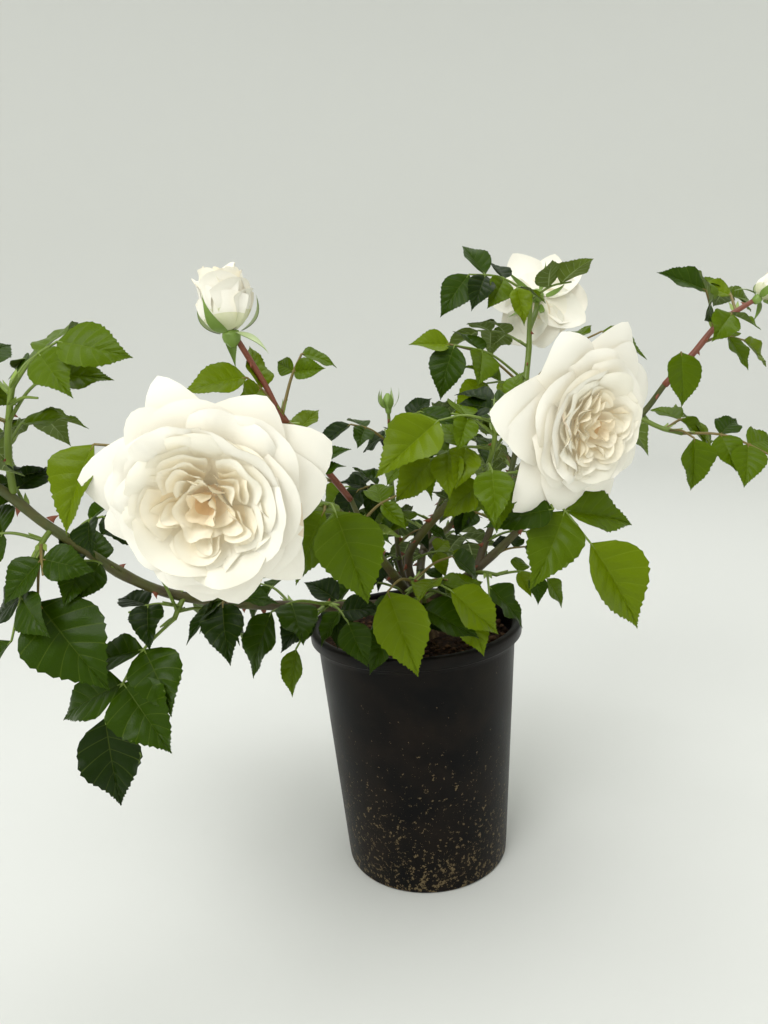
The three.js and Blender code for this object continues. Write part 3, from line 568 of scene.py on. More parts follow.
def compound_leaf(base, row, random):
    """A compound leaf: a bowed stalk, pairs of side leaflets and one at the end."""
    heading, rise, reach, pairs, blade, turn, dip = row
    tip = base + direction(heading, rise) * reach
    stalk = np.array([base, (base + tip) / 2 + vec(0, 0, STALK_ARCH * reach), tip])
    sun = sunward(tip)
    rock = 0.5 * (random() - 0.5)
    leaflets = []
    for place, size in zip(PAIR_PLACES[pairs], PAIR_SIZES[pairs]):
        along = unit(stalk[1] - base if place < 0.5 else tip - stalk[1])
        level = unit(np.cross(vec(0, 0, 1), along))
        top = square_to(along, np.cross(along, level) * (1 - SUN_PULL) + sun * SUN_PULL
                        + level * rock)
        side = np.cross(top, along)
        for hand in (-1, 1):
            spread = math.radians(SOLID_LEAF["spread"] + 16 * (random() - 0.5))
            droop = 0.05 + 0.3 * random()
            forward = unit(along * math.cos(spread) + side * (hand * math.sin(spread))
                           + vec(0, 0, -droop))
            leaflets.append(leaflet_at(on_line(stalk, place), forward, top, blade * size, random)
                            | {"place": place})
    forward = direction(heading + turn, dip)
    level = unit(np.cross(vec(0, 0, 1), forward))
    up = np.cross(forward, level) * (1 - SUN_PULL) + sun * SUN_PULL + level * rock
    leaflets.append(leaflet_at(tip, forward, up, blade, random) | {"place": 1.0})
    return stalk, leaflets


def leaf_rows(spray, random):
    """The listed leaves of a spray, then the ones that follow by rule up its stem."""
    rows = [list(row) for row in spray["leaves"]]
    if "wild" in spray:
        count, first, last, reach, blade = spray["wild"]
        start = 360 * random()
        for leaf in range(count):
            share = (leaf + 0.5) / count
            place = first + (last - first) * share
            heading = start + BRANCH_ANGLE * leaf + 30 * (random() - 0.5)
            rows.append([place, heading, 5 + 30 * share, reach * (1.1 - 0.35 * share),
                         1 + leaf % 2, blade * (1.1 - 0.3 * share), 0,
                         -50 + 25 * share + 10 * random()])
    return rows


def flower_frame(tip, flower):
    """The frame of a flower: origin on the stem's tip, axis along its facing."""
    axis = unit(vec(*flower["facing"]))
    guide = vec(0, 1, 0) if abs(axis[2]) > 0.9 else vec(0, 0, 1)
    level = unit(np.cross(guide, axis))
    upright = np.cross(axis, level)
    turn = math.radians(flower["spin"])
    return {"origin": np.asarray(tip, float), "axis": axis,
            "u": level * math.cos(turn) + upright * math.sin(turn),
            "v": upright * math.cos(turn) - level * math.sin(turn)}


def flower_point(place, radius, height, azimuth):
    """Points at a radius and azimuth round a flower's axis and a height along it."""
    radius, height, azimuth = np.broadcast_arrays(radius, height, azimuth)
    return (place["origin"] + place["axis"] * height[..., None]
            + place["u"] * (radius * np.cos(azimuth))[..., None]
            + place["v"] * (radius * np.sin(azimuth))[..., None])


def solid_flower(tip, flower):
    """The plain closed bodies of a flower that the crossing test uses."""
    place = flower_frame(tip, flower)
    size = flower["radius"]
    bloom = flower["kind"] == "bloom"
    profile, sides, waves = (ROSETTE, 10, 0.07) if bloom else (EGG, 8, 0.03)
    radius, height = np.array(profile).T[:, :, None]
    azimuth = angles_round(sides)[None, :]
    wavy = 1 + waves * np.sin(5 * azimuth + 9 * height)
    blocks = [ring_block(flower_point(place, size * radius * wavy, size * height, azimuth))]
    guard = GUARD_PETALS[flower["kind"]]
    for petal in range(guard["count"]):
        first = math.radians(guard["open"][0])
        bend = math.radians(guard["open"][1]) - first
        length, half = guard["length"] * size, guard["half_width"] * size

        def at(across, t, depth):
            angle = first + bend * t
            radius = 0.05 * size + length * (math.cos(first) - math.cos(angle)) / bend
            height = (guard["height"] * size
                      + length * (math.sin(angle) - math.sin(first)) / bend)
            swell = ((t / GUARD_WIDEST) ** 0.7 if t < GUARD_WIDEST
                     else (1 - ((t - GUARD_WIDEST) / (1 - GUARD_WIDEST)) ** 3) ** (1 / 3))
            wrap = across * half * swell / max(radius, 0.55 * half)
            return flower_point(place, radius + depth * math.cos(angle),
                                height - depth * math.sin(angle),
                                2 * math.pi * petal / guard["count"] + wrap)

        rows = [[at(0, 0, 0)], *[[at(s, t, 0) for s in (-1, 0, 1)] for t in GUARD_ROWS],
                [at(0, 1, 0)]]
        under = [[], *[[at(s, t, GUARD_THICKNESS) for s in (-1, 0, 1)] for t in GUARD_ROWS], []]
        blocks.append(blade_block(rows, under))
    return blocks


def lines_cut_faces(first, second):
    """True when an edge of the first block passes through a triangle of the second: the edge
    meets the triangle's plane between its ends and inside the triangle."""
    points, faces = first
    pairs = np.concatenate([faces[:, [0, 1]], faces[:, [1, 2]], faces[:, [2, 0]]])
    pairs = pairs[pairs[:, 0] < pairs[:, 1]]
    corners = second[0][second[1]]
    low, high = points.min(0), points.max(0)
    near = (corners.min(1) <= high).all(1) & (corners.max(1) >= low).all(1)
    corners = corners[near]
    if not len(corners):
        return False
    low, high = second[0].min(0), second[0].max(0)
    ends = points[pairs]
    ends = ends[(ends.min(1) <= high).all(1) & (ends.max(1) >= low).all(1)]
    if not len(ends):
        return False
    start, ray = ends[:, 0][:, None], (ends[:, 1] - ends[:, 0])[:, None]
    a, edge1, edge2 = (corners[:, 0][None], (corners[:, 1] - corners[:, 0])[None],
                       (corners[:, 2] - corners[:, 0])[None])
    p = np.cross(ray, edge2)
    determinant = (edge1 * p).sum(-1)
    solid = np.abs(determinant) >= 1e-9
    determinant = np.where(solid, determinant, 1.0)
    from_corner = start - a
    s = (from_corner * p).sum(-1) / determinant
    q = np.cross(from_corner, np.broadcast_to(edge1, from_corner.shape))
    t = (ray * q).sum(-1) / determinant
    along = (edge2 * q).sum(-1) / determinant
    return bool((solid & (s >= 0) & (t >= 0) & (s + t <= 1) & (along >= 0) & (along <= 1)).any())


class Garden:
    """Everything grown so far, as closed blocks with an owner."""

    def __init__(self):
        self.owners, self.blocks, self.low, self.high = [], [], [], []

    def plant(self, owner, block):
        self.owners.append(owner)
        self.blocks.append(block)
        self.low.append(block[0].min(0))
        self.high.append(block[0].max(0))

    def is_clear(self, owner, block):
        """A block is clear when it cuts nothing that belongs to another owner."""
        if not self.blocks:
            return True
        near = ((np.array(self.low) <= block[0].max(0)).all(1)
                & (np.array(self.high) >= block[0].min(0)).all(1))
        return not any(
            self.owners[i] != owner and (lines_cut_faces(block, self.blocks[i])
                                         or lines_cut_faces(self.blocks[i], block))
            for i in np.flatnonzero(near))


# The room that petals take up: lowest and highest point along the axis and the reach from it,
# as shares of the flower's size.
PETAL_ROOM = {"bloom": (0.02, 0.70, 0.72), "opening": (-0.1, 1.7, 0.8)}


@functools.lru_cache(maxsize=None)
def grown_bush():
    """Every leaf that the rule grows: a leaf is left off when its stalk cuts another piece,
    and so is each leaflet that does. Last, the leaflets that stand among petals or cut a leaflet
    of another leaf are left off too."""
    garden = Garden()
    shoulder = POT["height"] - POT["rim_height"]
    foot, rim = POT["foot_radius"] + POT_CLEARANCE, POT["rim_radius"] + POT_CLEARANCE
    garden.plant("pot", rod_block([[0, 0, 0], [0, 0, shoulder], [0, 0, POT["height"]]],
                                  [foot, rim, rim], POT_BLOCK_SIDES))
    garden.plant("trunk", rod_block(TRUNK["points"], TRUNK["radii"], TRUNK_SIDES))
    for name, limb in LIMBS.items():
        line = smooth_line(limb["points"], LIMB_STEPS_PER_SPAN)
        garden.plant(name, rod_block(line, np.linspace(*limb["radii"], len(line)), LIMB_SIDES))
    lines = {}
    for name, spray in SPRAYS.items():
        line = smooth_line(spray["points"], LIMB_STEPS_PER_SPAN)
        lines[name] = line
        garden.plant(name, rod_block(line, np.linspace(*spray["radii"], len(line)), STEM_SIDES))
        if "flower" in spray:
            for block in solid_flower(spray["points"][-1], spray["flower"]):
                garden.plant(name, block)
    leaves = []
    for name, spray in SPRAYS.items():
        random = seeded_random(spray["seed"])
        for place, *row in leaf_rows(spray, random):
            leaves += grown_leaf(garden, name, name, on_line(lines[name], place), row, random)
    for number, (limb, (name, *wild)) in enumerate(FINE_TWIGS.items()):
        random = seeded_random(SEEDS["fine_twigs"] + number)
        line = smooth_line(LIMBS[limb]["points"], LIMB_STEPS_PER_SPAN)
        for place, *row in leaf_rows({"leaves": [], "wild": wild}, random):
            leaves += grown_leaf(garden, limb, name, on_line(line, place), row, random)
    air = Garden()
    for number, leaf in enumerate(leaves):
        own = [(item, solid_leaflet(item, 0)) for item in leaf["leaflets"]]
        own = [(item, block) for item, block in own
               if not among_petals(item) and air.is_clear(number, block)]
        for item, block in own:
            air.plant(number, block)
        leaf["leaflets"] = [item for item, block in own]
    return leaves


def among_petals(leaflet):
    """Whether a leaflet would stand inside a flower, where only petals have room: points along
    its middle line and near both margins are tried."""
    along = np.linspace(0, 1, 6)[:, None, None] * leaflet["forward"]
    across = np.array([-0.3, 0.0, 0.3])[None, :, None] * leaflet["side"]
    points = leaflet["root"] + (along + across) * leaflet["length"]
    for spray in SPRAYS.values():
        if spray.get("flower", {}).get("kind") in PETAL_ROOM:
            place = flower_frame(spray["points"][-1], spray["flower"])
            away = (points - place["origin"]) / spray["flower"]["radius"]
            height = away @ place["axis"]
            reach = np.linalg.norm(away - height[..., None] * place["axis"], axis=-1)
            low, high, wide = PETAL_ROOM[spray["flower"]["kind"]]
            if ((height > low) & (height < high) & (reach < wide)).any():
                return True
    return False


def grown_leaf(garden, owner, mass, base, row, random):
    """One leaf as a list, empty when its stalk cuts a piece of another owner."""
    stalk, leaflets = compound_leaf(base, row, random)
    wide = [STALK_RADIUS + LEAF_CLEARANCE] * 3
    if not garden.is_clear(owner, rod_block(stalk, wide, STALK_SIDES)):
        return []
    garden.plant(owner, rod_block(stalk, [STALK_RADIUS] * 3, STALK_SIDES))
    kept = []
    for leaflet in leaflets:
        if garden.is_clear(owner, solid_leaflet(leaflet, LEAF_CLEARANCE)):
            garden.plant(owner, solid_leaflet(leaflet, 0))
            kept.append(leaflet)
    return [{"spray": mass, "stalk": stalk, "leaflets": kept}]


# ---- meshes ----

class Pile:
    """Surfaces of one kind, gathered into one mesh."""

    def __init__(self):
        self.points, self.faces, self.kinds, self.count = [], [], [], 0

    def add(self, points, faces, kinds=0):
        points = np.asarray(points).reshape(-1, 3)
        self.points.append(points)
        self.faces.append(faces + self.count)
        self.kinds.append(np.broadcast_to(kinds, len(faces)))
        self.count += len(points)

    def piece(self, name, materials, slot, nodes):
        """One object at the origin, smooth, that rides on the body and stands for the nodes."""
        mesh = bpy.data.meshes.new(name)
        faces = np.concatenate(self.faces)
        mesh.from_pydata(np.concatenate(self.points) * MILLIMETRE, [], faces)
        for material in materials:
            mesh.materials.append(material)
        mesh.polygons.foreach_set("material_index", np.concatenate(self.kinds).astype(np.int32))
        mesh.polygons.foreach_set("use_smooth", np.ones(len(faces), bool))
        mesh.update()
        piece = bpy.data.objects.new(name, mesh)
        bpy.context.scene.collection.objects.link(piece)
        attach(piece, "root")
        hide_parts(*nodes)
        return piece


TUBE_ENDS = (0.3, 0.5)        # how far a tube's ends are drawn out, in its radius there


def tube(line, radii, sides, relief=None):
    """A round skin carried along a line: each point stands off the line by the radius there,
    times one plus `relief`, at equal angles round it. The ends are drawn to points."""
    along, across, other = across_line(line)
    angle = angles_round(sides)
    radius = np.asarray(radii, float)[:, None] * np.ones(sides)[None, :]
    if relief is not None:
        radius = radius * (1 + relief)
    rings = (line[:, None] + across[:, None] * (radius * np.cos(angle))[..., None]
             + other[:, None] * (radius * np.sin(angle))[..., None])
    foot = np.broadcast_to(line[0] - along[0] * radii[0] * TUBE_ENDS[0], (1, sides, 3))
    tip = np.broadcast_to(line[-1] + along[-1] * radii[-1] * TUBE_ENDS[1], (1, sides, 3))
    rings = np.concatenate([foot, rings, tip])
    return rings, grid_faces(len(rings), sides, closed=True)


def lathe(profile, sides, ripple=None):
    """A surface turned about the Z axis: the rows of [radius, height] at equal angles, each
    height changed by `ripple` where one is given."""
    radius, height = np.asarray(profile, float).T[:, :, None]
    angle = angles_round(sides)[None, :]
    height = height + (0 if ripple is None else ripple)
    points = np.stack(np.broadcast_arrays(radius * np.cos(angle), radius * np.sin(angle),
                                          height), -1)
    return points, grid_faces(len(profile), sides, closed=True)


def rounded(profile, step):
    """A profile of [radius, height] rows with points laid no further apart than `step`."""
    profile = np.asarray(profile, float)
    gaps = np.linalg.norm(np.diff(profile, axis=0), axis=1)
    counts = np.maximum(1, np.ceil(gaps / step)).astype(int)
    rows = [np.linspace(profile[i], profile[i + 1], counts[i], endpoint=False)
            for i in range(len(gaps))]
    return np.concatenate(rows + [profile[-1:]])


# ---- leaves ----

VEIN_STEP = 0.125             # along the midrib from one side vein to the next
VEIN_PLACES = 0.07 + VEIN_STEP * np.arange(7)
VEIN_HALF = 0.0035            # half the width of a side vein, in leaflet lengths
UPPER_STATIONS = np.array([0, 0.020, 0.3, 0.58, 0.84, 0.975, 1.0])
UNDER_STATIONS = np.array([0, 0.05, 0.3, 0.58, 0.84, 1.0])
VEIN_LEAN = 0.2               # how far a side vein runs forward on its way to the margin
TOOTH_LEAN = 0.17             # how far a tooth's tip leans forward, in vein steps
SHORTENING = 0.06             # how much less far a curled leaflet reaches, in its length
MOST_FOLD = 14                # degrees that a leaflet may be folded further than the solid one
LEAF_SHAPE = {"half_width": 0.33, "widest": 0.38, "root_power": 0.89, "tip_power": 1.68}


def midrib_rows():
    """Places on the midrib where the rows of a leaflet start, with how full the blade swells
    there and how far a tooth stands out: two close rows for each vein, two more before the
    next, and three towards the tip."""
    offsets = np.array([-VEIN_HALF, VEIN_HALF, 0.36 * VEIN_STEP, 0.68 * VEIN_STEP])
    places = (VEIN_PLACES[:, None] + offsets).ravel()
    count = len(VEIN_PLACES)
    full = np.tile([0.0, 0.0, 1.0, 0.9], count)
    tooth = np.tile([0.0, 1.0, 0.0, 1.0], count)
    vein = np.tile([True, False, False, False], count)
    return (np.concatenate([[0], places, [0.95, 0.978, 1]]),
            np.concatenate([[0], full, [0.3, 0.1, 0]]),
            np.concatenate([[0], tooth, [0, 0, 0]]),
            np.concatenate([[False], vein, [False, False]]))


MIDRIB_PLACES, MIDRIB_FULL, MIDRIB_TOOTH, VEIN_ROWS = midrib_rows()


def leaf_outline(u):
    """Half width of a leaflet at `u` from root to tip as a share of its widest: a power of the
    distance from the root times a power of the distance from the tip, one at the widest."""
    widest = LEAF_SHAPE["widest"]
    return ((u / widest) ** LEAF_SHAPE["root_power"]
            * ((1 - u) / (1 - widest)) ** LEAF_SHAPE["tip_power"])


def leaf_surface(leaf, stations, depth, settings):
    """One face of a leaflet. Rows run from the midrib to the margin along the side veins, which
    lean forward as they go out; `stations` are the shares of the way out. The blade folds up
    from the midrib, swells between veins, waves along the margin, curls down and twists
    towards the tip, and lies `depth` below the upper face."""
    length = leaf["length"]
    a = MIDRIB_PLACES[:, None]
    signed = np.concatenate([-stations[::-1], stations[1:]])[None, :]
    hand, r = np.sign(signed), np.abs(signed)
    margin = a + VEIN_LEAN * np.sin(np.pi * a)
    half = LEAF_SHAPE["half_width"] * leaf["width"] * length * leaf_outline(margin)
    tooth = MIDRIB_TOOTH[:, None] * np.where(r == 1, 1.0, np.where(r > 0.9, 0.45, 0.0))
    u = a + (margin - a) * r ** 1.25 + tooth * TOOTH_LEAN * VEIN_STEP
    out = half * r + tooth * settings.tooth * length * leaf_outline(margin) ** 0.5
    full = MIDRIB_FULL[:, None] * np.sin(np.pi * r ** 0.8) * settings.pucker * length
    fold = leaf["fold"] * (1.25 - 0.25 * r)
    wave = leaf["wave"] * length * r ** 2 * np.sin(2 * np.pi * (leaf["waves"] * u
                                                              + leaf["phase"] * hand))
    lift = out * np.sin(fold) + full + wave * np.sin(np.pi * u) - depth * (1 - 0.7 * (r == 1))
    reach = out * np.cos(fold) * hand
    turn = leaf["twist"] * u
    side = leaf["side"] * np.cos(turn)[..., None] + leaf["normal"] * np.sin(turn)[..., None]
    top = leaf["normal"] * np.cos(turn)[..., None] - leaf["side"] * np.sin(turn)[..., None]
    bow = leaf["bow"] * length * u * u
    return (leaf["root"] + leaf["forward"] * (length * (u - SHORTENING * u ** 3))[..., None]
            - leaf["normal"] * (leaf["curl"] * length * u ** 2.2)[..., None]
            + side * (reach + bow)[..., None] + top * lift[..., None])


def leaf_kinds(stations, blade, vein):
    """The material of each triangle of a leaflet's face: midrib and side veins, or blade."""
    columns = 2 * (len(stations) - 1)
    middle = np.abs(np.arange(columns) - (columns - 1) / 2)
    kinds = np.full((len(MIDRIB_PLACES) - 1, columns), blade)
    kinds[VEIN_ROWS] = np.where(middle < columns / 2 - 1, vein, kinds[VEIN_ROWS])
    kinds[:, middle < 1] = vein
    return np.repeat(kinds.ravel(), 2)


def leaf_look(leaflet, chance, stalk, settings):
    """The leaflet that the rule grew, moved onto the smooth stalk, with its own wave, twist,
    bow and width, and folded and curled further."""
    place = leaflet["place"]
    root = leaflet["root"]
    if place < 1:
        root = root + on_curve(stalk, place) - on_line(stalk, place)
    return leaflet | {
        "root": root, "wave": settings.wave * chance.uniform(0.3, 1.3),
        "waves": chance.uniform(1.2, 2.4), "phase": chance.uniform(0, 1),
        "twist": math.radians(chance.normal(0, 14)), "bow": chance.normal(0, 0.04),
        "width": leaflet["width"] * chance.uniform(0.86, 1.08),
        "fold": leaflet["fold"] + math.radians(chance.uniform(0, MOST_FOLD)),
        "curl": leaflet["curl"] * chance.uniform(1.0, 1.7),
    }


# ---- flowers ----

# Whorls of petals from the outside in: count, first azimuth in degrees, radius and height of
# the root, radius and height of the lip, how cupped the petal is in degrees, half width, how far
# the lip rolls back in degrees, how far the corners stop short of the lip and how sharp they
# are, ruffle, fold along the middle, and shade. Lengths are in flower radii.
BLOOM_WHORLS = [
    (5, 0, 0.05, 0.00, 1.08, 0.08, -24, 0.62, 34, 0.46, 1.3, 0.015, -0.20, 0),
    (5, 38, 0.06, 0.02, 0.96, 0.20, -14, 0.60, 40, 0.40, 1.4, 0.020, -0.15, 0),
    (5, 12, 0.07, 0.05, 0.82, 0.42, 26, 0.60, 62, 0.18, 2.2, 0.030, 0.00, 0),
    (5, 50, 0.08, 0.08, 0.74, 0.50, 36, 0.56, 66, 0.14, 2.6, 0.040, 0.00, 0),
    (5, 25, 0.09, 0.12, 0.66, 0.56, 44, 0.50, 66, 0.14, 2.6, 0.045, 0.00, 0),
    (5, 60, 0.10, 0.16, 0.58, 0.60, 50, 0.46, 62, 0.14, 2.6, 0.050, 0.05, 1),
    (4, 53, 0.03, 0.14, 0.19, 0.55, 40, 0.24, 34, 0.20, 2.0, 0.030, 0.20, 2),
    (3, 90, 0.03, 0.18, 0.10, 0.56, 30, 0.15, 20, 0.20, 2.0, 0.030, 0.30, 3),
]
# Whorls from this one inwards make up the rosette; each bloom has its own share of the width.
FIRST_OF_ROSETTE = 2
ROSETTE_SHARES = {"spray_hero": 0.97, "spray_right_bloom": 0.84, "spray_top_bloom": 0.9,
                  "spray_back_left": 0.92}
# The heart is quartered: bundles of petals laid inside one another, each bundle apart.
QUARTERS = {"count": 5, "radius": 0.12, "height": 0.20, "lean": 12, "turn": 17}
QUARTER_WHORLS = [
    (0.08, 0.00, 0.410, 0.40, 50, 0.40, 56, 0.20, 2.4, 0.040, 0.00, 1),
    (0.07, 0.03, 0.345, 0.42, 50, 0.35, 52, 0.20, 2.4, 0.040, 0.05, 1),
    (0.06, 0.05, 0.285, 0.43, 46, 0.30, 46, 0.20, 2.2, 0.035, 0.15, 1),
    (0.05, 0.07, 0.225, 0.43, 40, 0.26, 40, 0.22, 2.2, 0.035, 0.30, 2),
    (0.04, 0.09, 0.165, 0.42, 30, 0.21, 30, 0.24, 2.0, 0.030, 0.50, 2),
    (0.03, 0.10, 0.105, 0.40, 20, 0.15, 20, 0.24, 2.0, 0.020, 0.70, 2),
]
OPENING_WHORLS = [
    (3, 0, 0.10, -0.10, 0.64, 1.26, 104, 1.02, 64, 0.22, 2.2, 0.020, 0.0, 0),
    (3, 62, 0.10, -0.08, 0.60, 1.54, 96, 0.98, 66, 0.20, 2.2, 0.025, 0.0, 0),
    (3, 20, 0.10, -0.05, 0.52, 1.74, 86, 0.86, 62, 0.18, 2.2, 0.030, 0.0, 0),
    (3, 85, 0.08, 0.00, 0.42, 1.82, 70, 0.70, 54, 0.16, 2.2, 0.040, 0.0, 1),
    (3, 40, 0.06, 0.05, 0.30, 1.84, 48, 0.42, 40, 0.14, 2.2, 0.060, 0.1, 1),
    (3, 0, 0.04, 0.05, 0.18, 1.74, 24, 0.28, 24, 0.14, 2.2, 0.040, 0.1, 2),
]
# Short broad petals that close the bed of the quartered heart, in the same terms.
BED_WHORL = (6, 10, -0.10, 0.04, 0.46, 0.20, 14, 0.42, 10, 0.10, 2.0, 0.02, 0.0, 3)
# The outer whorls of a half-open bud are still green towards their foot.
TINGED_WHORLS = 2
PETAL_ROWS = 13
PETAL_COLUMNS = 13
ARC_POINTS = 65               # points along the middle line that the petal's shape is read from
ROLL_START = 0.62             # where a petal starts to roll back, as a share of its length
NOTCH_WIDTH = 0.2             # width of the notch in the lip, in half widths
PETAL_SLACK = 1.06            # length of a petal's arc over the straight way to its lip
WHORL_WRAP = 0.45             # the smallest radius that a petal wraps round, in its half widths
HEART_WRAP = 0.20             # the same for the petals of the heart
SEPALS = 5
SEPAL_ROWS = 12
SEPAL_COLUMNS = 5
SEPAL_THICKNESS = 0.4
HIP_SIDES = 14


def petal_surface(place, size, petal, depth):
    """One face of a petal. Its middle line runs from root to lip on an arc that is bent by the
    cup angle, and rolls back near the lip; the petal widens from a narrow claw, wraps round the
    axis, its margins turn back, and its corners stop short of the lip. `depth` is how far
    this face lies below the inner one."""
    fine = np.linspace(0, 1, ARC_POINTS)
    out, up = petal["lip"] - petal["root"]
    angle = math.atan2(out, up) + petal["cup"] * (0.5 - fine)
    length = math.hypot(out, up) * petal["long"]
    angle = angle + petal["roll"] * np.clip((fine - ROLL_START) / (1 - ROLL_START), 0, 1) ** 1.5
    step = np.diff(fine, prepend=0) * length
    outs = np.cumsum(np.sin(angle) * step)
    ups = np.cumsum(np.cos(angle) * step)
    t = np.linspace(0, 1, PETAL_ROWS)[:, None] ** 0.85
    s = np.linspace(-1, 1, PETAL_COLUMNS)[None, :]
    reach = t * (1 - petal["corner"] * np.abs(s) ** petal["corner_power"] * t
                 - petal["notch"] * np.exp(-(s / NOTCH_WIDTH) ** 2) * t ** 4)
    radius = petal["root"][0] + np.interp(reach, fine, outs)
    height = petal["root"][1] + np.interp(reach, fine, ups)
    lean = np.interp(reach, fine, angle)
    half = petal["half_width"] * reach ** 0.6 * (1 - 0.1 * reach ** 4)
    ruffle = (petal["ruffle"] * reach ** 3
              * np.sin(petal["waves"] * np.pi * s + petal["phase"]))
    crease = petal["crease"] * half * (np.abs(s) - 0.5) * reach
    margin = petal["margin"] * half * np.abs(s) ** 4 * np.clip(reach * 1.6, 0, 1)
    down = depth - ruffle - crease + margin
    wrap = s * half / np.maximum(radius, petal["tightest"] * petal["half_width"])
    swirl = petal["swirl"] * reach
    return flower_point(place, size * (radius + down * np.cos(lean)),
                        size * (height - down * np.sin(lean)),
                        petal["azimuth"] + wrap + swirl)


def add_petal(pile, place, size, petal, shade, chance, settings, shades):
    """Both faces of one petal. Its foot is a shade warmer, unless the petal says otherwise, and
    a few lips are faded."""
    faces = grid_faces(PETAL_ROWS, PETAL_COLUMNS)
    share = (np.arange(PETAL_ROWS - 1) + 0.5) / (PETAL_ROWS - 1)
    band = np.where(share < 0.5, petal.get("foot", min(shade + 1, len(shades) - 1)), shade)
    kinds = np.repeat(band, 2 * (PETAL_COLUMNS - 1)).reshape(PETAL_ROWS - 1, -1)
    if chance.uniform() < settings.faded and shade < 2:
        edge = chance.choice([0, 2 * (PETAL_COLUMNS - 1) - 5])
        kinds[-1, edge:edge + 5] = len(shades)
    under = settings.petal_thickness / MILLIMETRE / size
    pile.add(petal_surface(place, size, petal, 0.0), faces, kinds.ravel())
    pile.add(petal_surface(place, size, petal, under), faces[:, ::-1], kinds.ravel())


def petal_like(azimuth, form, chance, settings):
    """A petal of the given form, with its own small departures from the others."""
    root_r, root_h, lip_r, lip_h, cup, half, roll, corner, power, ruffle, fold = form
    return {
        "azimuth": math.radians(azimuth + chance.normal(0, 6)),
        "root": vec(root_r, root_h + chance.normal(0, 0.008)),
        "lip": vec(lip_r * chance.normal(1, 0.03), lip_h * chance.normal(1, 0.04)),
        "long": PETAL_SLACK, "cup": math.radians(cup * chance.uniform(0.75, 1.25)),
        "half_width": half * chance.normal(1, 0.08), "tightest": WHORL_WRAP,
        "roll": math.radians(roll * chance.uniform(0.5, 1.4)),
        "corner": corner * chance.uniform(0.7, 1.25), "corner_power": power,
        "ruffle": ruffle * chance.uniform(0.4, 1.5), "waves": chance.uniform(0.9, 2.2),
        "phase": chance.uniform(0, 2 * math.pi),
        "notch": max(0.0, chance.normal(0.01, 0.02)), "margin": chance.uniform(0.1, 0.4),
        "crease": settings.crease * chance.uniform(-0.5, 1.0) + fold * chance.uniform(0.3, 1.3),
        "swirl": math.radians(chance.normal(4, 4)),
    }


def add_petals(pile, place, flower, share, chance, settings, shades):
    """All petals of one flower: its whorls and, in an open bloom, the quarters of the heart.
    The rosette takes up `share` of the flower's size."""
    bloom = flower["kind"] == "bloom"
    size = flower["radius"]
    for whorl, (count, first, *form, shade) in enumerate(
            BLOOM_WHORLS if bloom else OPENING_WHORLS):
        if bloom and whorl == FIRST_OF_ROSETTE:
            size *= share
        for number in range(count):
            petal = petal_like(first + 360 * number / count, form, chance, settings)
            if not bloom and whorl < TINGED_WHORLS:
                petal["foot"] = len(shades) + 1
            add_petal(pile, place, size, petal, shade, chance, settings, shades)
    for number in range(QUARTERS["count"] if bloom else 0):
        around = 360 * number / QUARTERS["count"] + QUARTERS["turn"] + chance.normal(0, 8)
        nest = quarter_place(place, size, math.radians(around), chance)
        for *form, shade in QUARTER_WHORLS:
            petal = petal_like(chance.normal(0, 8), form, chance, settings)
            petal["tightest"] = HEART_WRAP
            add_petal(pile, nest, size, petal, shade, chance, settings, shades)
    count, first, *form, shade = BED_WHORL
    for number in range(count if bloom else 0):
        petal = petal_like(first + 360 * number / count, form, chance, settings)
        add_petal(pile, place, size, petal, shade, chance, settings, shades)


def quarter_place(place, size, azimuth, chance):
    """The frame of one bundle of the heart: set off the flower's axis and leaning outwards."""
    out = place["u"] * math.cos(azimuth) + place["v"] * math.sin(azimuth)
    lean = math.radians(QUARTERS["lean"] * chance.uniform(0.7, 1.3))
    axis = place["axis"] * math.cos(lean) + out * math.sin(lean)
    u = out * math.cos(lean) - place["axis"] * math.sin(lean)
    return {"origin": place["origin"] + out * QUARTERS["radius"] * size
            + place["axis"] * QUARTERS["height"] * size,
            "axis": axis, "u": u, "v": np.cross(axis, u)}


def sepal_surface(place, sepal, depth):
    """One face of a narrow sepal that leaves the axis at the root angle and bends evenly to the
    tip angle; it is widest a quarter of the way up and draws out to a thin tail."""
    t = np.linspace(0, 1, SEPAL_ROWS)[:, None]
    s = np.linspace(-1, 1, SEPAL_COLUMNS)[None, :]
    angle = sepal["root_angle"] + (sepal["tip_angle"] - sepal["root_angle"]) * t
    step = sepal["length"] / (SEPAL_ROWS - 1)
    radius = sepal["radius"] + np.cumsum(np.sin(angle), 0) * step
    height = sepal["height"] + np.cumsum(np.cos(angle), 0) * step
    half = sepal["half_width"] * (4.2 * t * (1 - t) ** 2.1 + 0.35 * (1 - t) ** 3)
    wrap = s * half / np.maximum(np.abs(radius), 0.5 * sepal["half_width"] + 1)
    return flower_point(place, radius + (depth + 0.3 * half * s * s) * np.cos(angle),
                        height - depth * np.sin(angle), sepal["azimuth"] + wrap)


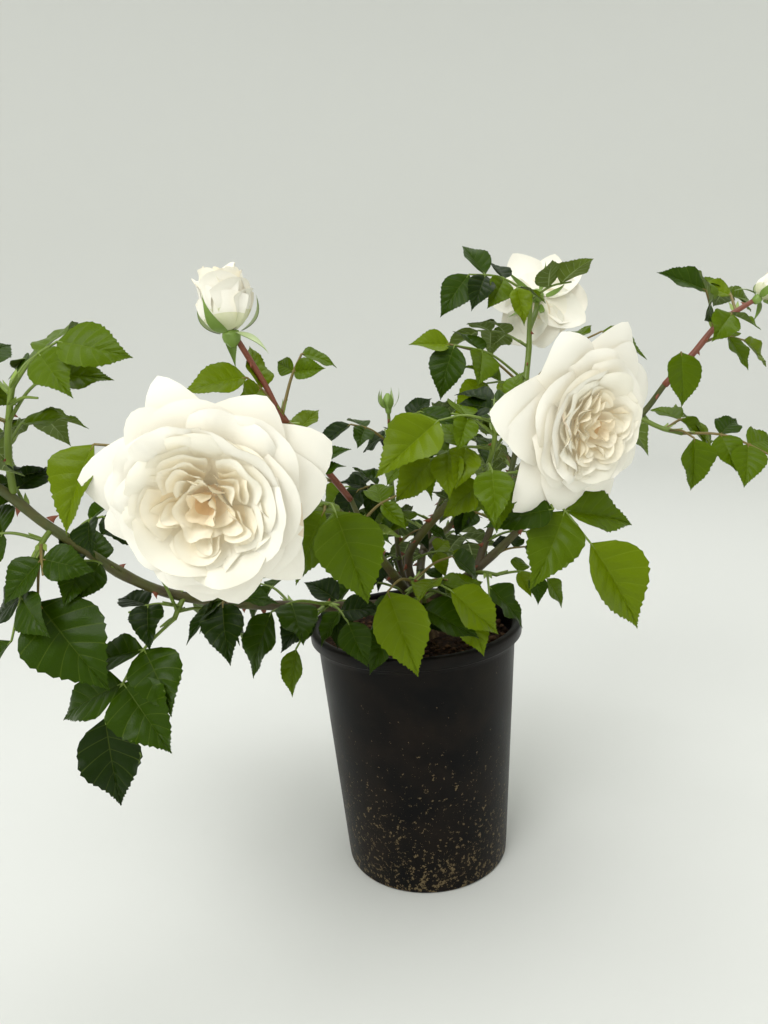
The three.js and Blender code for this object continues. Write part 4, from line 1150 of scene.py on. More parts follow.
def add_calyx(pile, place, hip, sepals, chance):
    """The green hip under a flower, turned about its axis, and five sepals."""
    radius, height = np.array(hip["profile"]).T[:, :, None]
    angle = angles_round(HIP_SIDES)[None, :]
    pile.add(flower_point(place, radius, height, angle),
             grid_faces(len(hip["profile"]), HIP_SIDES, closed=True), 0)
    faces = grid_faces(SEPAL_ROWS, SEPAL_COLUMNS)
    for number, (root, tip) in enumerate(sepals["angles"]):
        around = 360 * number / SEPALS + sepals["turn"] + chance.normal(0, 5)
        sepal = {
            "azimuth": math.radians(around), "root_angle": math.radians(root),
            "tip_angle": math.radians(tip + chance.normal(0, 8)),
            "length": sepals["length"] * chance.uniform(0.85, 1.15),
            "half_width": sepals["half_width"], "radius": hip["top_radius"],
            "height": hip["top_height"],
        }
        pile.add(sepal_surface(place, sepal, 0.0), faces[:, ::-1], 1)
        pile.add(sepal_surface(place, sepal, SEPAL_THICKNESS), faces, 0)


# ---- bark ----

ANY_TURN = 6.3                # the largest angle that a rib, crack, ring or knob is turned by
SCAR_HEIGHT = 0.10            # how far the ring of a leaf scar stands out, in cane radii
CRACK_DEPTH = 0.05            # of the trunk, in its radius, for a crack of usual width
KNOBS = 7                     # knobs of the graft

def cane_relief(count, sides, seed, depth, nodes):
    """Relief of a cane as shares of its radius: shallow ribs that wander along it, and a low
    ring at every leaf scar."""
    chance = np.random.default_rng(seed)
    step = np.arange(count)[:, None] / max(count - 1, 1)
    angle = angles_round(sides)[None, :]
    ribs = sum(depth / order * np.sin(order * angle + chance.uniform(0, ANY_TURN)
                                      + chance.uniform(-4, 4) * step)
               for order in (3, 5, 8))
    rings = sum(SCAR_HEIGHT * np.exp(-((step - node) * count / 1.6) ** 2)
                * (1 + 0.6 * np.cos(angle - chance.uniform(0, ANY_TURN))) for node in nodes)
    return ribs + rings


def bark_relief(count, sides, seed):
    """Relief of the old trunk as shares of its radius: long cracks that split and meet, plates
    between them, and knobs of the graft."""
    chance = np.random.default_rng(seed)
    step = np.linspace(0, 1, count)[:, None]
    angle = angles_round(sides)[None, :]
    cracks = np.zeros((count, sides))
    for order in (5, 7, 11, 13):
        wander = chance.uniform(0, ANY_TURN) + chance.uniform(1, 2.5) * np.sin(
            2 * np.pi * (step * chance.uniform(0.6, 1.8) + chance.uniform()))
        width = np.clip(np.sin(order * angle + wander) - 0.55, 0, 1)
        cracks -= CRACK_DEPTH * width * 5 / order ** 0.5
    knobs = sum(chance.uniform(0.08, 0.2) * np.exp(
        -((step - chance.uniform(0.55, 0.95)) / 0.09) ** 2
        - (np.angle(np.exp(1j * (angle - chance.uniform(0, ANY_TURN)))) / 0.5) ** 2)
        for _ in range(KNOBS))
    return cracks + knobs + chance.normal(0, 0.012, (count, sides))


# ---- materials ----

def linear(colour):
    """A colour written as sRGB hex, as the linear numbers that a shader takes."""
    values = [int(colour[i:i + 2], 16) / 255 for i in (1, 3, 5)]
    return tuple(v / 12.92 if v <= 0.04045 else ((v + 0.055) / 1.055) ** 2.4 for v in values)


def mixed(first, second, share):
    """A colour between two, with this share of the second."""
    return tuple(a * (1 - share) + b * share for a, b in zip(first, second))


def add_node(tree, kind, inputs=None, **settings):
    """Adds one node, sets its settings, and sets or links its inputs by name."""
    node = tree.nodes.new(kind)
    for key, value in settings.items():
        setattr(node, key, value)
    for key, value in (inputs or {}).items():
        if isinstance(value, bpy.types.NodeSocket):
            tree.links.new(value, node.inputs[key])
        else:
            node.inputs[key].default_value = value
    return node


def new_material(name, colour, roughness, specular=0.5, metal=0.0):
    """A material whose plain colour and gloss stand on the shader's own sockets."""
    material = bpy.data.materials.new(name)
    material.use_nodes = True
    tree = material.node_tree
    shader = tree.nodes["Principled BSDF"]
    shader.inputs["Base Color"].default_value = (*colour, 1)
    shader.inputs["Roughness"].default_value = roughness
    shader.inputs["Specular IOR Level"].default_value = specular
    shader.inputs["Metallic"].default_value = metal
    return material, tree, shader


def place_of(tree, scale=(1, 1, 1)):
    """Object coordinates, stretched by `scale`."""
    where = add_node(tree, "ShaderNodeTexCoord")
    return add_node(tree, "ShaderNodeMapping", {"Vector": where.outputs["Object"],
                                                "Scale": scale}).outputs["Vector"]


def grain(tree, size, detail=3.0, stretch=(1, 1, 1), roughness=0.55):
    """Cloudy noise whose spots are about `size` metres wide."""
    return add_node(tree, "ShaderNodeTexNoise", {
        "Vector": place_of(tree, stretch), "Scale": 1 / size, "Detail": detail,
        "Roughness": roughness}).outputs["Fac"]


def height_of(tree):
    """Height above the ground in metres."""
    return add_node(tree, "ShaderNodeSeparateXYZ", {"Vector": place_of(tree)}).outputs["Z"]


def map_range(tree, value, start, end, low, high):
    """`low` where the value is `start`, `high` where it is `end`, and evenly between them."""
    return add_node(tree, "ShaderNodeMapRange", {
        "Value": value, "From Min": start, "From Max": end, "To Min": low,
        "To Max": high}).outputs["Result"]


def ramp(tree, factor, *stops):
    """Colours dealt along a factor: each stop is a place and a linear colour."""
    node = add_node(tree, "ShaderNodeValToRGB", {"Fac": factor})
    while len(node.color_ramp.elements) < len(stops):
        node.color_ramp.elements.new(0.5)
    for element, (place, colour) in zip(node.color_ramp.elements, stops):
        element.position = place
        element.color = (*colour, 1)
    return node.outputs["Color"]


def paint(tree, shader, factor, *stops):
    """The ramp as the colour of the surface: each stop is a place and a colour."""
    tree.links.new(ramp(tree, factor, *stops), shader.inputs["Base Color"])


def dent(tree, shader, height, depth, reach=MILLIMETRE):
    """Fine relief on the surface, `depth` times the height in metres."""
    bump = add_node(tree, "ShaderNodeBump", {"Height": height, "Strength": depth,
                                             "Distance": reach})
    tree.links.new(bump.outputs["Normal"], shader.inputs["Normal"])


# Dry splashes of compost on the pot: where the noise is over a limit that rises from the foot
# of the pot to the height "top" in metres.
SPLASH = {"top": 0.21, "limits": (0.555, 0.715), "size": 0.0036, "colour": "#66583f"}
# Year-old bark is corky up to the first height and green from the second, in metres.
CORKY_HEIGHTS = (0.245, 0.34)
VEINLETS = 620.0              # cells of the net of veinlets in a metre
PETAL_GLOW = 0.06             # stands for the light that comes through a petal from behind


def moulded_black_plastic(settings):
    """Black recycled polypropylene, injection moulded: a soft even gloss, with a fine film of
    dust and dry splashes of compost that thicken towards the foot."""
    material, tree, shader = new_material("moulded_black_plastic", settings.colour, 0.30, 0.10)
    limit = map_range(tree, height_of(tree), 0.0, SPLASH["top"], *SPLASH["limits"])
    spots = grain(tree, SPLASH["size"], 5.0, roughness=0.72)
    splash = add_node(tree, "ShaderNodeMath", {0: spots, 1: limit}, operation="GREATER_THAN")
    dust = grain(tree, 0.035, 4.0)
    base = ramp(tree, dust, (0.35, settings.colour), (0.7, mixed(settings.colour,
                                                                 linear("#4a3a2b"), 0.12)))
    colour = add_node(tree, "ShaderNodeMix", data_type="RGBA")
    tree.links.new(splash.outputs[0], colour.inputs["Factor"])
    tree.links.new(base, colour.inputs["A"])
    colour.inputs["B"].default_value = (*linear(SPLASH["colour"]), 1)
    tree.links.new(colour.outputs["Result"], shader.inputs["Base Color"])
    tree.links.new(map_range(tree, dust, 0.0, 1.0, 0.28, 0.5), shader.inputs["Roughness"])
    dent(tree, shader, grain(tree, 0.0016, 3.0), 0.12)
    return material


def damp_compost():
    """Damp peat and composted bark: dark, matt, with paler fibres and chips."""
    material, tree, shader = new_material("damp_compost", linear("#2e2018"), 0.92, 0.25)
    paint(tree, shader, grain(tree, 0.004, 6.0), (0.3, linear("#1c130e")),
          (0.52, linear("#3a281d")), (0.72, linear("#5d4330")))
    dent(tree, shader, grain(tree, 0.002, 6.0), 0.8, 0.002)
    return material


def bark_chip():
    """Broken pieces of composted pine bark, reddish brown and dry on top."""
    material, tree, shader = new_material("bark_chip", linear("#5b3f2b"), 0.85, 0.3)
    paint(tree, shader, grain(tree, 0.006, 4.0), (0.3, linear("#3b281b")),
          (0.7, linear("#7b5a3e")))
    return material


def old_rose_bark():
    """Bark of the old wood: grey-brown plates over darker cracks, matt."""
    material, tree, shader = new_material("old_rose_bark", linear("#66523b"), 0.88, 0.3)
    paint(tree, shader, grain(tree, 0.006, 6.0, (1, 1, 0.35)), (0.28, linear("#352718")),
          (0.5, linear("#6a543a")), (0.72, linear("#93805e")))
    dent(tree, shader, grain(tree, 0.002, 5.0, (1, 1, 0.3)), 0.7, 0.0015)
    return material


def cane_bark(settings):
    """Skin of last year's canes: smooth and olive green, browner and duller near the trunk,
    with corky streaks."""
    material, tree, shader = new_material("cane_bark", settings.colour, 0.5)
    old = map_range(tree, height_of(tree), *CORKY_HEIGHTS, 0.30, 0.0)
    patch = add_node(tree, "ShaderNodeMath", {0: grain(tree, 0.014, 5.0), 1: old})
    paint(tree, shader, patch.outputs[0], (0.40, settings.colour), (0.58, linear("#565624")),
          (0.80, linear("#50442c")))
    dent(tree, shader, grain(tree, 0.0022, 4.0, (1, 1, 0.4)), 0.35)
    return material


def green_shoot(name, colour):
    """Skin of this year's shoots and leaf stalks: smooth, waxy, with a faint grain."""
    material, tree, shader = new_material(name, colour, 0.42)
    dent(tree, shader, grain(tree, 0.0016, 2.0), 0.12)
    return material


def thorn_skin():
    """Dried skin of a thorn: smooth, tawny red."""
    return new_material("thorn_skin", linear("#8a4a30"), 0.45)[0]


def leaf_blade(name, colour, roughness, specular=0.5):
    """Waxy skin of a leaflet, or of its veins: a clear green with a soft gloss and a fine net
    of veinlets that breaks the highlight."""
    material, tree, shader = new_material(name, colour, roughness, specular)
    net = add_node(tree, "ShaderNodeTexVoronoi", {"Vector": place_of(tree), "Scale": VEINLETS},
                   feature="DISTANCE_TO_EDGE").outputs["Distance"]
    dent(tree, shader, net, 0.35, 0.0004)
    return material


def petal_skin(name, colour):
    """Velvety skin of a petal: almost white and matt, and thin enough for light to spread in
    it; a faint glow of its own stands for the light that comes through from behind."""
    material, tree, shader = new_material(name, colour, 0.62, 0.25)
    shader.inputs["Subsurface Weight"].default_value = 0.15
    shader.inputs["Subsurface Radius"].default_value = (1.0, 0.95, 0.85)
    shader.inputs["Subsurface Scale"].default_value = 0.002
    shader.inputs["Emission Color"].default_value = (*colour, 1)
    shader.inputs["Emission Strength"].default_value = PETAL_GLOW
    dent(tree, shader, grain(tree, 0.003, 3.0), 0.10)
    return material


# ---- what a user would change ----

def size_property(label, text, default_mm):
    return bpy.props.FloatProperty(name=label, description=text, default=default_mm * MILLIMETRE,
                                   min=0.0, subtype="DISTANCE", unit="LENGTH", precision=4)


def share_property(label, text, default):
    return bpy.props.FloatProperty(name=label, description=text, default=default,
                                   subtype="FACTOR", min=0.0, max=1.0, precision=3)


def colour_property(label, text, colour):
    return bpy.props.FloatVectorProperty(name=label, description=text, default=linear(colour),
                                         size=3, min=0.0, max=1.0, subtype="COLOR")


class RoseBushPotSettings(bpy.types.PropertyGroup):
    """The pot and its compost."""
    lip: size_property("Lip rounding", "Radius of the rounded top edge of the rim", 2.2)
    colour: colour_property("Pot colour", "Colour of the moulded plastic", "#060606")
    chips: bpy.props.IntProperty(name="Bark chips", min=0, default=420,
                                 description="Loose pieces of bark on the compost")


class RoseBushWoodSettings(bpy.types.PropertyGroup):
    """Trunk, canes, shoots and thorns."""
    ribs: share_property("Rib depth", "Relief of a cane as a share of its radius", 0.045)
    thorn: size_property("Thorn length", "Length of a full-grown thorn", 6.0)
    spacing: size_property("Thorn spacing", "Usual distance between thorns", 17.0)
    colour: colour_property("Cane colour", "Colour of year-old bark", "#4a5222")
    shoot: colour_property("Shoot colour", "Colour of young stems and stalks", "#6f8430")
    new_shoot: colour_property("New shoot colour", "Colour of the newest stems", "#7f4632")


class RoseBushLeafSettings(bpy.types.PropertyGroup):
    """Leaflets."""
    tooth: share_property("Tooth height", "Height of a margin tooth in leaflet lengths", 0.013)
    pucker: share_property("Pucker", "Swelling between veins in leaflet lengths", 0.016)
    wave: share_property("Wave", "Waving of the margin in leaflet lengths", 0.048)
    thickness: size_property("Leaf thickness", "From the upper face to the under face", 0.4)
    # The deep and dark greens are partly leaf age and partly painted shade, dealt to leaves that
    # lie in shade; the lime is partly painted light through backlit leaves.
    deep: colour_property("Deep green", "Old shaded leaves", "#182902")
    dark: colour_property("Dark green", "Full-grown leaves", "#2c4202")
    middle: colour_property("Middle green", "Most leaves in the light", "#4e6402")
    fresh: colour_property("Fresh green", "Young leaves", "#607405")
    lime: colour_property("Lime green", "The thinnest young leaves", "#6d7b10")
    bronze: colour_property("Bronze", "Leaves tinted by cold or sun", "#5b5824")


class RoseBushBloomSettings(bpy.types.PropertyGroup):
    """Petals, buds and sepals."""
    petal_thickness: size_property("Petal thickness", "From face to face of a petal", 0.35)
    crease: share_property("Crease", "Fold of the petals along their middle", 0.12)
    faded: share_property("Faded lips", "Share of petals with a brown edge", 0.07)
    white: colour_property("Outer petals", "Colour of the outer petals", "#f7f3e6")
    ivory: colour_property("Middle petals", "Colour of the next petals", "#f8f3e2")
    cream: colour_property("Inner petals", "Colour of the inner petals", "#f9f1db")
    buff: colour_property("Heart petals", "Colour of the small petals at the heart", "#f8ecd0")
    heart: colour_property("Heart", "Colour deep in the heart", "#f1d6ae")
    scorched: colour_property("Faded lip", "Colour of a faded lip", "#e7d8c0")
    tinged: colour_property("Green foot", "Colour low down on a half-open bud", "#e3e3c2")


class RoseBushStageSettings(bpy.types.PropertyGroup):
    """Floor, light and camera."""
    floor: colour_property("Floor colour", "Colour of the pale floor", "#dedfdb")
    sky: colour_property("Surround colour", "Colour of the light from all round", "#d3d5d2")
    key: bpy.props.FloatProperty(name="Key light", default=40.0, min=0.0, unit="POWER",
                                 description="Power of the large light at the front left")
    lens: bpy.props.FloatProperty(name="Focal length", default=28.0, min=1.0, unit="CAMERA",
                                  description="Focal length of the camera in millimetres")


# The shares of each green in the leaves of a spray: deep, dark, middle, fresh, lime, bronze.
# They are partly painted shade and light: sprays that lie under the blooms, inside or at the
# back of the bush get more of the deep and dark greens as painted shade, and the lime on the
# right stands partly for painted light shining through backlit leaves.
TONES_WITH_PAINTED_SHADE = {
    "spray_hero": (0, 2, 5, 2, 0, 0), "spray_right_bloom": (0, 2, 5, 2, 0, 0),
    "spray_bud": (0, 1, 4, 3, 0, 0), "spray_left_high": (1, 4, 4, 0, 0, 0),
    "spray_left_end": (2, 5, 2, 0, 0, 0), "spray_left_low": (5, 3, 0, 0, 0, 0),
    "spray_left_hanging": (4, 5, 0, 0, 0, 0), "spray_low_front": (1, 4, 3, 0, 0, 0),
    "spray_rim": (0, 2, 4, 3, 0, 0), "spray_centre": (0, 2, 4, 3, 0, 0),
    "spray_middle": (3, 5, 2, 0, 0, 0), "spray_right_high": (0, 2, 5, 2, 0, 0),
    "spray_right_low": (0, 1, 4, 4, 1, 0), "spray_top": (0, 2, 5, 2, 0, 0),
    "spray_top_bloom": (0, 1, 1, 0, 0, 0), "spray_low_right": (0, 3, 4, 1, 0, 0),
    "spray_back": (2, 4, 3, 0, 0, 0), "spray_back_left": (1, 4, 3, 1, 0, 0),
    "spray_back_low": (3, 4, 1, 0, 0, 1), "spray_back_right": (1, 3, 4, 1, 0, 0),
    "spray_back_base": (3, 4, 1, 0, 0, 0),
}
# Each piece of leaves and the sprays it takes in.
REGIONS = {
    "leaves_left": ["spray_left_high", "spray_left_end", "spray_left_low",
                    "spray_left_hanging", "spray_low_front"],
    "leaves_front": ["spray_hero", "spray_rim", "spray_centre", "spray_bud", "spray_middle",
                     "spray_right_bloom"],
    "leaves_right": ["spray_right_high", "spray_right_low", "spray_top", "spray_low_right",
                     "spray_top_bloom"],
    "leaves_back": ["spray_back", "spray_back_left", "spray_back_low", "spray_back_right",
                    "spray_back_base"],
}
NEW_SHOOTS = ("spray_bud", "spray_right_high")
FRONT_FLOWERS = ("spray_hero", "spray_right_bloom", "spray_bud", "spray_right_high")
LEAF_SHADES = ("deep", "dark", "middle", "fresh", "lime", "bronze")
PETAL_SHADES = ("white", "ivory", "cream", "buff", "heart")
BRONZE = LEAF_SHADES.index("bronze")

POT_SIDES = 144
POT_STEP = 9.0                # most that two rows of points on the pot stand apart
FOOT_ROUNDING = 2.5
SOIL_RINGS = 26
SOIL_SIDES = 96
SOIL_DEPTH = 20.0             # how far the wall of the compost runs down inside the pot
# Lumps in the compost: height, width and two phases of each set of waves.
SOIL_LUMPS = ((1.4, 17, 0.3, 1.1), (0.9, 8, 2.0, 0.4), (0.5, 3.7, 1.2, 2.2))
# Smallest and largest size of a chip, then its length, width and height as shares of it.
CHIP_SIZES = (1.2, 4.2)
CHIP_SHAPES = ((0.8, 1.5), (0.5, 0.9), (0.25, 0.5))
CHIP_LIFT = 2.4               # how high chips lie on the compost
DARK_CHIPS = 0.35             # the share of chips that are as dark as the compost
TRUNK_STEPS = 14
TRUNK_BARK_SIDES = 56
CANE_STEPS = 12
CANE_SIDES = 18
CANE_SWAY = 0.35              # usual distance of a cane from its smooth line
CANE_INSET = 0.2              # how much slimmer a cane's bark is than its solid
STEM_STEPS = 8
SHOOT_SIDES = 12
STALK_STEPS = 7
STALK_SKIN_SIDES = 7
SHORT_STALK = {"length": 0.07, "radii": [0.75, 0.45], "sides": 5}     # of a leaflet
STOUT_STEM = 2.3              # stems with a foot of at least this radius have thorns
THORN_FREE = 6                # how far the last thorn stays from a stem's end
THORN_ROWS = 6
THORN_SIDES = 7
RED_STALKS = 0.18             # the share of leaf stalks that are tinted red
STIPULE_LENGTH = 11
STIPULE_WIDTH = 2.6
STIPULE_THICKNESS = 0.25

FLOOR_SIDES = 96
FLOOR_BEND = 19               # rows of points in the bend up to the wall of the bowl
SKY_STRENGTH = 1.12
# Each light: where it stands and how wide it is in metres, and its share of the key's power.
LIGHTS = {"key_light": ((-1.1, -1.9, 2.1), 1.5, 1.0), "top_light": ((0.3, 0.4, 2.6), 1.8, 0.6)}
LIGHTS_AIM = (0, 0, 0.3)
SENSOR_HEIGHT = 36.0
CAMERA = {"place": (-20.8, -649.7, 444.0), "pitch": 11.70, "roll": 3.66}


def stem_line(name):
    """The fine middle line of a spray's stem, from inside the limb that carries it."""
    return smooth_line(SPRAYS[name]["points"], STEM_STEPS)


# ---- operators ----

class RoseBushMakePot(bpy.types.Operator):
    """Turn the nursery pot: a tapered wall, a step out to the rim and a rounded lip"""
    bl_idname = "rose_bush.make_pot"
    bl_label = "Make Pot"

    def execute(self, context):
        settings = context.scene.rose_bush_pot
        lip = settings.lip / MILLIMETRE
        neck, top = POT["height"] - POT["rim_height"], POT["height"]
        slope = (POT["neck_radius"] - POT["foot_radius"]) / neck
        inner = POT["neck_radius"] - POT["wall"]
        floor_radius = POT["foot_radius"] + slope * POT["floor"] - POT["wall"]
        turn = np.radians(np.linspace(0, 90, 7))
        outer_lip = np.stack([POT["rim_radius"] - lip + lip * np.cos(turn),
                              top - lip + lip * np.sin(turn)], 1)
        foot = np.stack([POT["foot_radius"] - FOOT_ROUNDING * (1 - np.sin(turn)),
                         FOOT_ROUNDING * (1 - np.cos(turn))], 1)
        # From the middle of the foot up the wall, over the step and the lip, and down inside.
        profile = np.concatenate([
            [[0.1, 0.0]], foot, [[POT["foot_radius"] + slope * 12, 12]],
            [[POT["neck_radius"] - slope * 6, neck - 6], [POT["neck_radius"], neck],
             [POT["neck_radius"] + 1.0, neck + 0.25], [POT["rim_radius"] - 1.2, neck + 0.6],
             [POT["rim_radius"] - 0.2, neck + 1.6]], outer_lip,
            [[inner + 3.5, top], [inner + 1.5, top - 0.8], [inner, top - 3],
             [floor_radius, POT["floor"]], [0.1, POT["floor"]]]])
        pile = Pile()
        pile.add(*lathe(rounded(profile, POT_STEP), POT_SIDES))
        pile.piece("pot_shell", [moulded_black_plastic(settings)], "pot_plastic", ["pot"])
        return {"FINISHED"}


class RoseBushMakeCompost(bpy.types.Operator):
    """Fill the pot: an uneven surface of compost with loose chips of bark on it"""
    bl_idname = "rose_bush.make_compost"
    bl_label = "Make Compost"

    def execute(self, context):
        settings = context.scene.rose_bush_pot
        chance = np.random.default_rng(SEEDS["compost"])
        slope = (POT["neck_radius"] - POT["foot_radius"]) / (POT["height"] - POT["rim_height"])
        edge = POT["foot_radius"] + slope * SOIL_TOP - POT["wall"] - 0.6
        share = np.linspace(0, 1, SOIL_RINGS)
        radius = edge * (1 - share)
        angle = angles_round(SOIL_SIDES)
        x, y = radius[:, None] * np.cos(angle), radius[:, None] * np.sin(angle)
        lumps = sum(high * np.sin(x / wide + a) * np.sin(y / wide + b)
                    for high, wide, a, b in SOIL_LUMPS)
        lumps = (lumps + chance.normal(0, 0.35, lumps.shape)) * np.clip(share * 9, 0, 1)[:, None]
        mound = 1.0 + 1.5 * share ** 0.6
        top = np.stack([x, y, SOIL_TOP + mound[:, None] + lumps], -1)
        wall = np.stack([x[0], y[0], np.full(SOIL_SIDES, SOIL_TOP - SOIL_DEPTH)], -1)[None]
        pile = Pile()
        pile.add(np.concatenate([wall, top]), grid_faces(SOIL_RINGS + 1, SOIL_SIDES, closed=True))
        corners, faces = self.chip()
        for _ in range(settings.chips):
            far = edge * math.sqrt(chance.uniform(0.02, 0.93))
            around = chance.uniform(0, 2 * math.pi)
            size = chance.uniform(*CHIP_SIZES)
            size = size * vec(*(chance.uniform(*limits) for limits in CHIP_SHAPES))
            spin = chance.normal(size=(3, 3))
            axes = np.linalg.qr(np.eye(3) * 2.2 + spin * 0.5)[0]
            turn = chance.uniform(0, 2 * math.pi)
            level = np.array([[math.cos(turn), -math.sin(turn), 0],
                              [math.sin(turn), math.cos(turn), 0], [0, 0, 1]])
            chip = (corners * (1 + chance.uniform(-0.25, 0.25, (len(corners), 1)))
                    * size) @ axes.T @ level.T
            place = vec(far * math.cos(around), far * math.sin(around),
                        SOIL_TOP + CHIP_LIFT + size[2] * 0.5)
            pile.add(chip + place, faces, 1 + int(chance.uniform() < DARK_CHIPS))
        pile.piece("compost", [damp_compost(), bark_chip(), damp_compost()], "compost",
                   ["soil"])
        return {"FINISHED"}

    @staticmethod
    def chip():
        """A rough lump: three rings of four corners, the middle one the widest."""
        low = [[0.6, 0.1, -1], [-0.1, 0.6, -1], [-0.6, -0.1, -1], [0.1, -0.6, -1]]
        ring = [[math.cos(a), math.sin(a), 0] for a in np.linspace(0, 2 * np.pi, 4,
                                                                   endpoint=False) + 0.4]
        top = [[0.5, 0.2, 1], [-0.2, 0.5, 1], [-0.5, -0.2, 1], [0.2, -0.5, 1]]
        return ring_block(np.array([low, ring, top], float))


class RoseBushMakeWood(bpy.types.Operator):
    """Lay the bark over the trunk and canes, with ribs, leaf scars and the graft"""
    bl_idname = "rose_bush.make_wood"
    bl_label = "Make Trunk and Canes"

    def execute(self, context):
        settings = context.scene.rose_bush_wood
        line = smooth_line(TRUNK["points"], TRUNK_STEPS)
        radii = np.interp(np.linspace(0, 1, len(line)), np.linspace(0, 1, 5), TRUNK["radii"])
        radii = radii * (1 + 0.04 * np.sin(np.linspace(0, 9, len(line))))
        pile = Pile()
        relief = bark_relief(len(line), TRUNK_BARK_SIDES, SEEDS["trunk"])
        pile.add(*tube(line, radii, TRUNK_BARK_SIDES, relief))
        pile.piece("trunk_bark", [old_rose_bark()], "bark", ["trunk"])

        pile = Pile()
        for number, limb in enumerate(LIMBS.values()):
            chance = np.random.default_rng(SEEDS["canes"] + number)
            line = smooth_line(limb["points"], CANE_STEPS)
            nodes = np.sort(chance.uniform(0.08, 0.98, 2 + len(limb["points"])))
            relief = cane_relief(len(line), CANE_SIDES, SEEDS["cane_relief"] + number,
                                 settings.ribs, nodes)
            sway = chance.normal(0, CANE_SWAY, (5, 3))
            share = np.linspace(0, 1, len(line))
            line = line + np.stack([np.interp(share, np.linspace(0, 1, 5), axis)
                                    for axis in sway.T], 1)
            inset = CANE_INSET * np.clip(share * 5, 0, 1)
            radii = np.linspace(*limb["radii"], len(line)) * (1 - inset)
            pile.add(*tube(line, radii, CANE_SIDES, relief))
        pile.piece("cane_bark", [cane_bark(settings)], "cane", list(LIMBS))
        return {"FINISHED"}


class RoseBushMakeThorns(bpy.types.Operator):
    """Set hooked thorns along the canes and the stout stems"""
    bl_idname = "rose_bush.make_thorns"
    bl_label = "Make Thorns"

    def execute(self, context):
        settings = context.scene.rose_bush_wood
        chance = np.random.default_rng(SEEDS["thorns"])
        pile = Pile()
        stems = [(smooth_line(limb["points"], CANE_STEPS), limb["radii"], 1.0)
                 for limb in LIMBS.values()]
        stems += [(stem_line(name), spray["radii"], 0.75) for name, spray in SPRAYS.items()
                  if spray["radii"][0] >= STOUT_STEM and name != "spray_top_bloom"]
        spacing = settings.spacing / MILLIMETRE
        for line, radii, scale in stems:
            along, across, other = across_line(line)
            run = np.concatenate([[0], np.cumsum(np.linalg.norm(np.diff(line, axis=0), axis=1))])
            place = spacing * chance.uniform(0.6, 1.4)
            while place < run[-1] - THORN_FREE:
                step = int(np.searchsorted(run, place))
                turn = chance.uniform(0, 2 * math.pi)
                out = across[step] * math.cos(turn) + other[step] * math.sin(turn)
                radius = (radii[0] + (radii[1] - radii[0]) * place / run[-1]) * 0.82
                length = settings.thorn / MILLIMETRE * scale * chance.uniform(0.6, 1.15)
                pile.add(*self.thorn(line[step] + out * radius * 0.85, out, along[step], length))
                place += spacing * chance.uniform(0.5, 1.7)
        pile.piece("thorns", [thorn_skin()], "cane", list(LIMBS))
        return {"FINISHED"}

    @staticmethod
    def thorn(root, out, along, length):
        """A hooked cone: flat oval rings that shrink almost evenly to a point, on a line that
        bends down the stem."""
        t = np.linspace(0, 1, THORN_ROWS)[:, None]
        angle = angles_round(THORN_SIDES)[None, :]
        wide = 0.36 * length * (1 - t) ** 1.1 + 0.03 * length * (1 - t)
        hook = 0.42 * length * t ** 2
        centre = root + out * (length * t)[..., None] - along * hook[..., None]
        side = np.cross(along, out)
        rings = (centre + along * (wide * 1.25 * np.cos(angle))[..., None]
                 + side * (wide * 0.5 * np.sin(angle))[..., None])
        return rings, grid_faces(THORN_ROWS, THORN_SIDES, closed=True)


